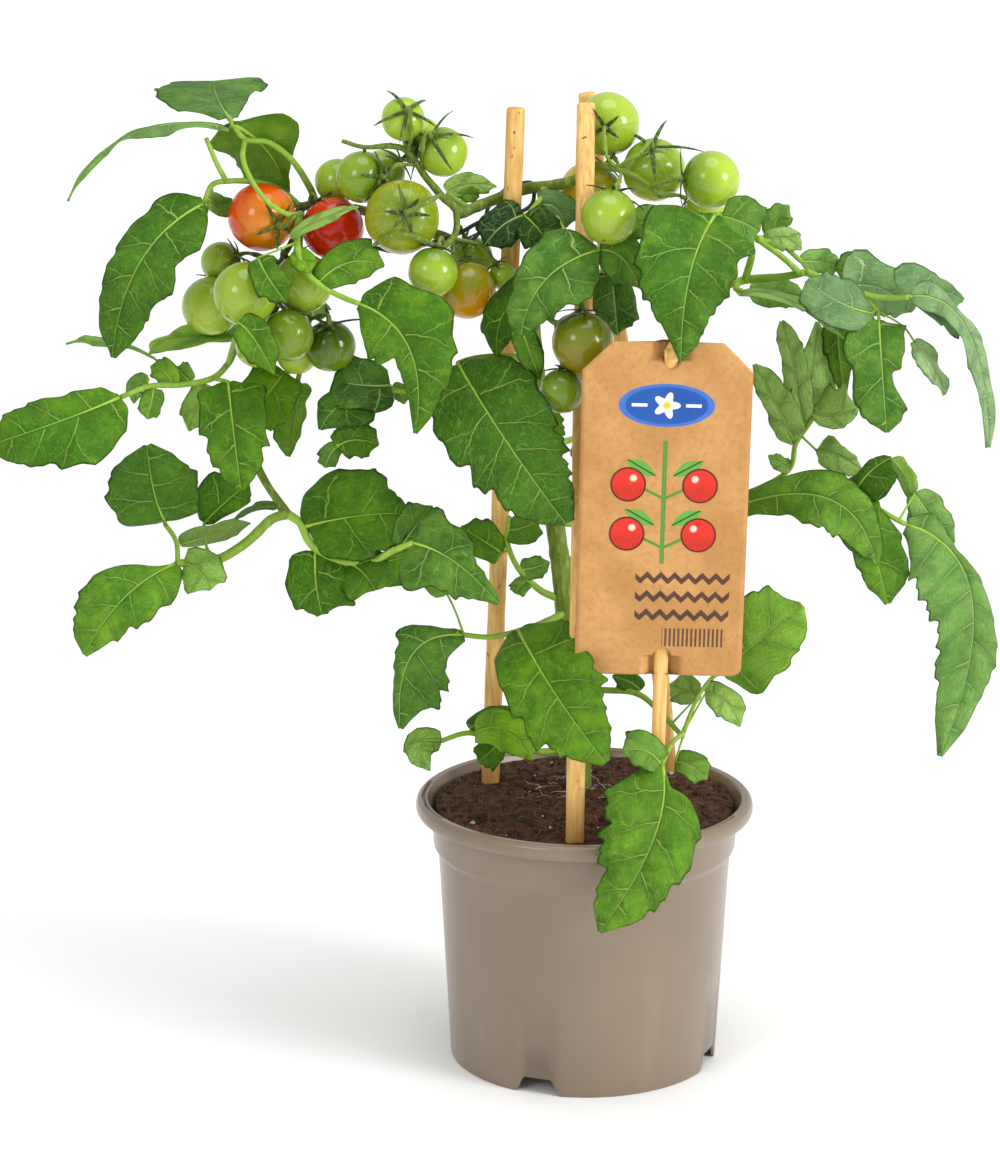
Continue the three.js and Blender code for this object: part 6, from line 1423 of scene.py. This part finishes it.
# Half the width at each row, in millimetres. Measured edges are read where the row ends, which takes a few
# rounds because that depends on the width itself; any other leaflet is a pointed oval, (share of the
# way)^full * (the rest).
def margins(s, phase, one, number, seed, length, sweep):
    if "edges" in one:
        edge = one["edges"][number]
        stations = np.linspace(0, 1, len(edge))
        width = np.interp(s, stations, edge)
        for _ in range(4):
            width = np.interp(s + ahead(s, width, length, sweep), stations, edge)
        rounding = 1 - blade["rounding"] * (1 - np.clip(s / blade["corner"], 0, 1)) ** 2
        return width * rounding * teeth(s, phase, one.get("depth", blade["edgeDepth"]), seed)
    full = blade["full"]
    peak = full / (full + 1)
    oval = (s ** full * (1 - s)) / (peak ** full * (1 - peak))
    return one["wide"] / 2 * oval * teeth(s, phase, one.get("depth", blade["depth"]), seed)


# A leaflet's midrib is a parabola through its base, mid and tip. Gives its ends with the point between that
# pulls it, the way the leaflet's upper side faces, and about how long the midrib is.
def midrib(one):
    base, mid, tip = seen(one["base"]), seen(one["mid"]), seen(one["tip"])
    pull = 2 * mid - 0.5 * base - 0.5 * tip
    towards, right, up = one["face"]
    length = np.linalg.norm(mid - base) + np.linalg.norm(tip - mid)
    return base, pull, tip, unit((right, -towards, up)), length


# A leaflet on a grid of s, along the midrib, and t, across it: a row runs out along a side vein, swept
# forwards; the halves fold up from the midrib; the blade bulges between its veins, ripples towards its
# margin and curls; a second sheet under it closes the blade.
def leafletShell(one, seed):
    base, pull, tip, upper, length = midrib(one)
    half, sweep = one["wide"] / 2, one.get("sweep", blade["sweep"])
    random = np.random.default_rng(seed)
    veins = int(np.clip(round(length / blade["veinGap"]), 2, 7))
    count = int(np.clip(length / blade["rows"], 16, 84))
    columns = int(np.clip(half / blade["columns"], 4, 16))
    s = np.linspace(0.004, 0.997, count)[:, None]
    t = np.linspace(-1, 1, 2 * columns + 1)
    out = np.abs(t)
    offset = random.uniform(0, 1) + np.where(t < 0, 0, 0.45)
    phase = veins * s ** blade["spread"] + offset
    low, high = (margins(s, phase, one, number, seed + 500 * number, length, sweep) for number in (0, 1))
    margin = np.where(t < 0, low, high) + blade["rim"]
    place = s + ahead(s, margin, length, sweep) * out ** blade["bow"]
    kept = np.clip(place, 0, 1)[..., None]
    spot = parabola(base, pull, tip, kept)
    along = unit(2 * (pull - base) * (1 - kept) + 2 * (tip - pull) * kept)
    spot = spot + along * (place[..., None] - kept) * length
    normal = unit(upper - along * (along @ upper)[..., None])
    side = np.cross(along, normal)
    away = margin * t
    veinPhase = phase - blade["toothTip"]
    bulge = np.abs(np.sin(np.pi * veinPhase)) ** 0.8 * (out * (1 - 0.55 * out)) ** 0.7
    wave = np.sin(2 * np.pi * (veinPhase * 0.5 + random.uniform())) * out ** 2.2
    bumps = lumps(s * length, away, 7, seed % 97) * out
    scale = np.clip(half / 16, 0.3, 1.1)
    rise = blade["fold"] * np.abs(away) + blade["quilt"] * scale * (bulge - 0.3 * out)
    rise = rise + blade["ripple"] * half * wave - blade["curl"] * half * out ** 2.6
    rise = rise + blade["uneven"] * scale * bumps - blade["groove"] * np.exp(-(away / 0.9) ** 2)
    top = spot + side * away[..., None] + normal * rise[..., None]
    thick = blade["thick"] * (1 - 0.55 * out ** 6) * np.where(out == 1, 0, 1)
    bottom = top - normal * thick[..., None]
    rings = np.concatenate([top, bottom[:, -2:0:-1]], 1)

    def both(above, below):
        above, below = np.broadcast_to(above, away.shape), np.broadcast_to(below, away.shape)
        return np.concatenate([above, below[:, -2:0:-1]], 1)

    body = closedShell(rings, tone=one.get("tone", blade["tone"]), chill=one.get("chill", blade["chill"]),
                       under=both(0, 1))
    for name, first, second in (("veinMap", veinPhase, away), ("bladeMap", s, out)):
        pair = np.stack([both(first, first), both(second, second)], -1)
        body[name] = np.concatenate([pair.reshape(-1, 2), [pair[0].mean(0), pair[-1].mean(0)]])
    return body


# The pale rib under a blade, a thin stem along the same parabola.
def ribShell(one, tone):
    base, pull, tip, upper, _ = midrib(one)
    scale = np.clip(one["wide"] / 36, 0.35, 1)
    path = parabola(base, pull, tip, np.linspace(0, 0.86, 9)[:, None]) - upper * (0.35 + 0.45 * scale)
    return stem(path, (0.95 * scale + 0.1, 0.6 * scale, 0.3 * scale, 0.12), around=6, spacing=3, tone=tone)


stalk = {"tone": 0.62, "main": (1.6, 1.35, 1.15, 1.05), "branch": (1.1, 1, 0.95), "own": (1.05, 0.85, 0.9)}


# The place on a set of stalks that is nearest to a spot.
def nearestOn(stalks, spot):
    places = np.concatenate([smoothPath(seen(path), 60) for path in stalks])
    return places[np.argmin(np.linalg.norm(places - spot, axis=1))]


# A leaf's first stalk is its main one and the rest are its branches; each leaflet joins them by a stalk of
# its own, unless its base lies on them.
def makeLeaf(name, leaf, number):
    blades, stalks = [], []
    stalkTone = leaf.get("tone", stalk["tone"])
    for k, path in enumerate(leaf["stalks"]):
        radii = leaf.get("radii", stalk["main"]) if k == 0 else stalk["branch"]
        stalks.append(smoothStem(path, radii, stalkTone, wobble=0.06))
    for k, one in enumerate(leaf["leaflets"]):
        base, via = seen(one["base"]), [seen(spot) for spot in one["route"]]
        start = nearestOn(leaf["stalks"], via[0] if via else base)
        own = [start, *[spot for spot in via if np.linalg.norm(spot - start) > 2], base]
        if np.linalg.norm(start - base) > 0.4:
            thin = np.clip(one["wide"] / 26, 0.5, 1)
            stalks.append(stem(own, np.array(stalk["own"]) * thin, around=7, tone=stalkTone))
        stalks.append(ribShell(one, stalkTone + 0.15))
        blades.append(leafletShell(one, 100 * number + k + 1))
    slotName, finish = ("leaf_dark", "leafDark") if name in darkLeaves else ("leaf_green", "leaf")
    title = name.replace("leaf_", "leafBlades_")
    makePiece(title, joinShells(blades), [name], slotName, finishes[finish], maps=("veinMap", "bladeMap"))
    title = name.replace("leaf_", "leafStalks_")
    makePiece(title, joinShells(stalks), [name], "stem_green", finishes["stem"])


for number, (name, leaf) in enumerate(leaves.items()):
    makeLeaf(name, leaf, number)
print("leaves made:", len(leaves))


# the floor's width and how it brightens with the distance, in metres; the lamps and the place they face
studio = {
    "floor": 40, "glow": 0.4, "glowFrom": 0.4, "glowTo": 3, "sky": 0.72,
    "lamps": {
        "left": {"at": (-1.3, -1.7, 1.25), "size": 0.75, "power": 9},
        "right": {"at": (1.5, -0.95, 0.85), "size": 0.8, "power": 24},
        "top": {"at": (0.1, -0.2, 2.1), "size": 1.4, "power": 15},
    },
    "aim": (-0.02, 0, 0.24),
}


def makeStudio():
    half = studio["floor"] / 2
    corners = [(-half, -half, 0), (half, -half, 0), (half, half, 0), (-half, half, 0)]
    mesh = bpy.data.meshes.new("floor")
    mesh.from_pydata(corners, [], [(0, 1, 2, 3)])
    paper = Finish("floorPaper", Specular_IOR_Level=0.1, Emission_Strength=1)
    spot = paper.add("ShaderNodeTexCoord", output="Object")
    reach = paper.add("ShaderNodeVectorMath", {"operation": "LENGTH"}, {0: spot}, "Value")
    far = reach.step(studio["glowFrom"], studio["glowTo"]) * studio["glow"]
    glow = paper.join(far, far, far)
    paper.tree.links.new(glow.socket, paper.shader.inputs["Emission Color"])
    mesh.materials.append(paper.paint(paper.mix(paper.noise(0.5) * 0.02, (252, 252, 252), (244, 244, 244))))
    floor = bpy.data.objects.new("floor", mesh)
    bpy.context.collection.objects.link(floor)
    floor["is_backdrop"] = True
    world = bpy.data.worlds.new("studio")
    world.use_nodes = True
    sky = world.node_tree.nodes["Background"]
    sky.inputs["Color"].default_value = (1, 1, 1, 1)
    sky.inputs["Strength"].default_value = studio["sky"]
    bpy.context.scene.world = world
    for name, lamp in studio["lamps"].items():
        data = bpy.data.lights.new(name, "AREA")
        data.shape, data.size, data.energy = "DISK", lamp["size"], lamp["power"]
        light = bpy.data.objects.new(name, data)
        light.location = lamp["at"]
        away = light.location - type(light.location)(studio["aim"])
        light.rotation_euler = away.to_track_quat("Z", "Y").to_euler()
        bpy.context.collection.objects.link(light)
    bpy.context.scene.view_settings.view_transform = "Standard"


makeStudio()

sizes = {"cad": [list(corner) for corner in cadBox], "visual": [list(corner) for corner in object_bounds()]}
print("size:", sizes)
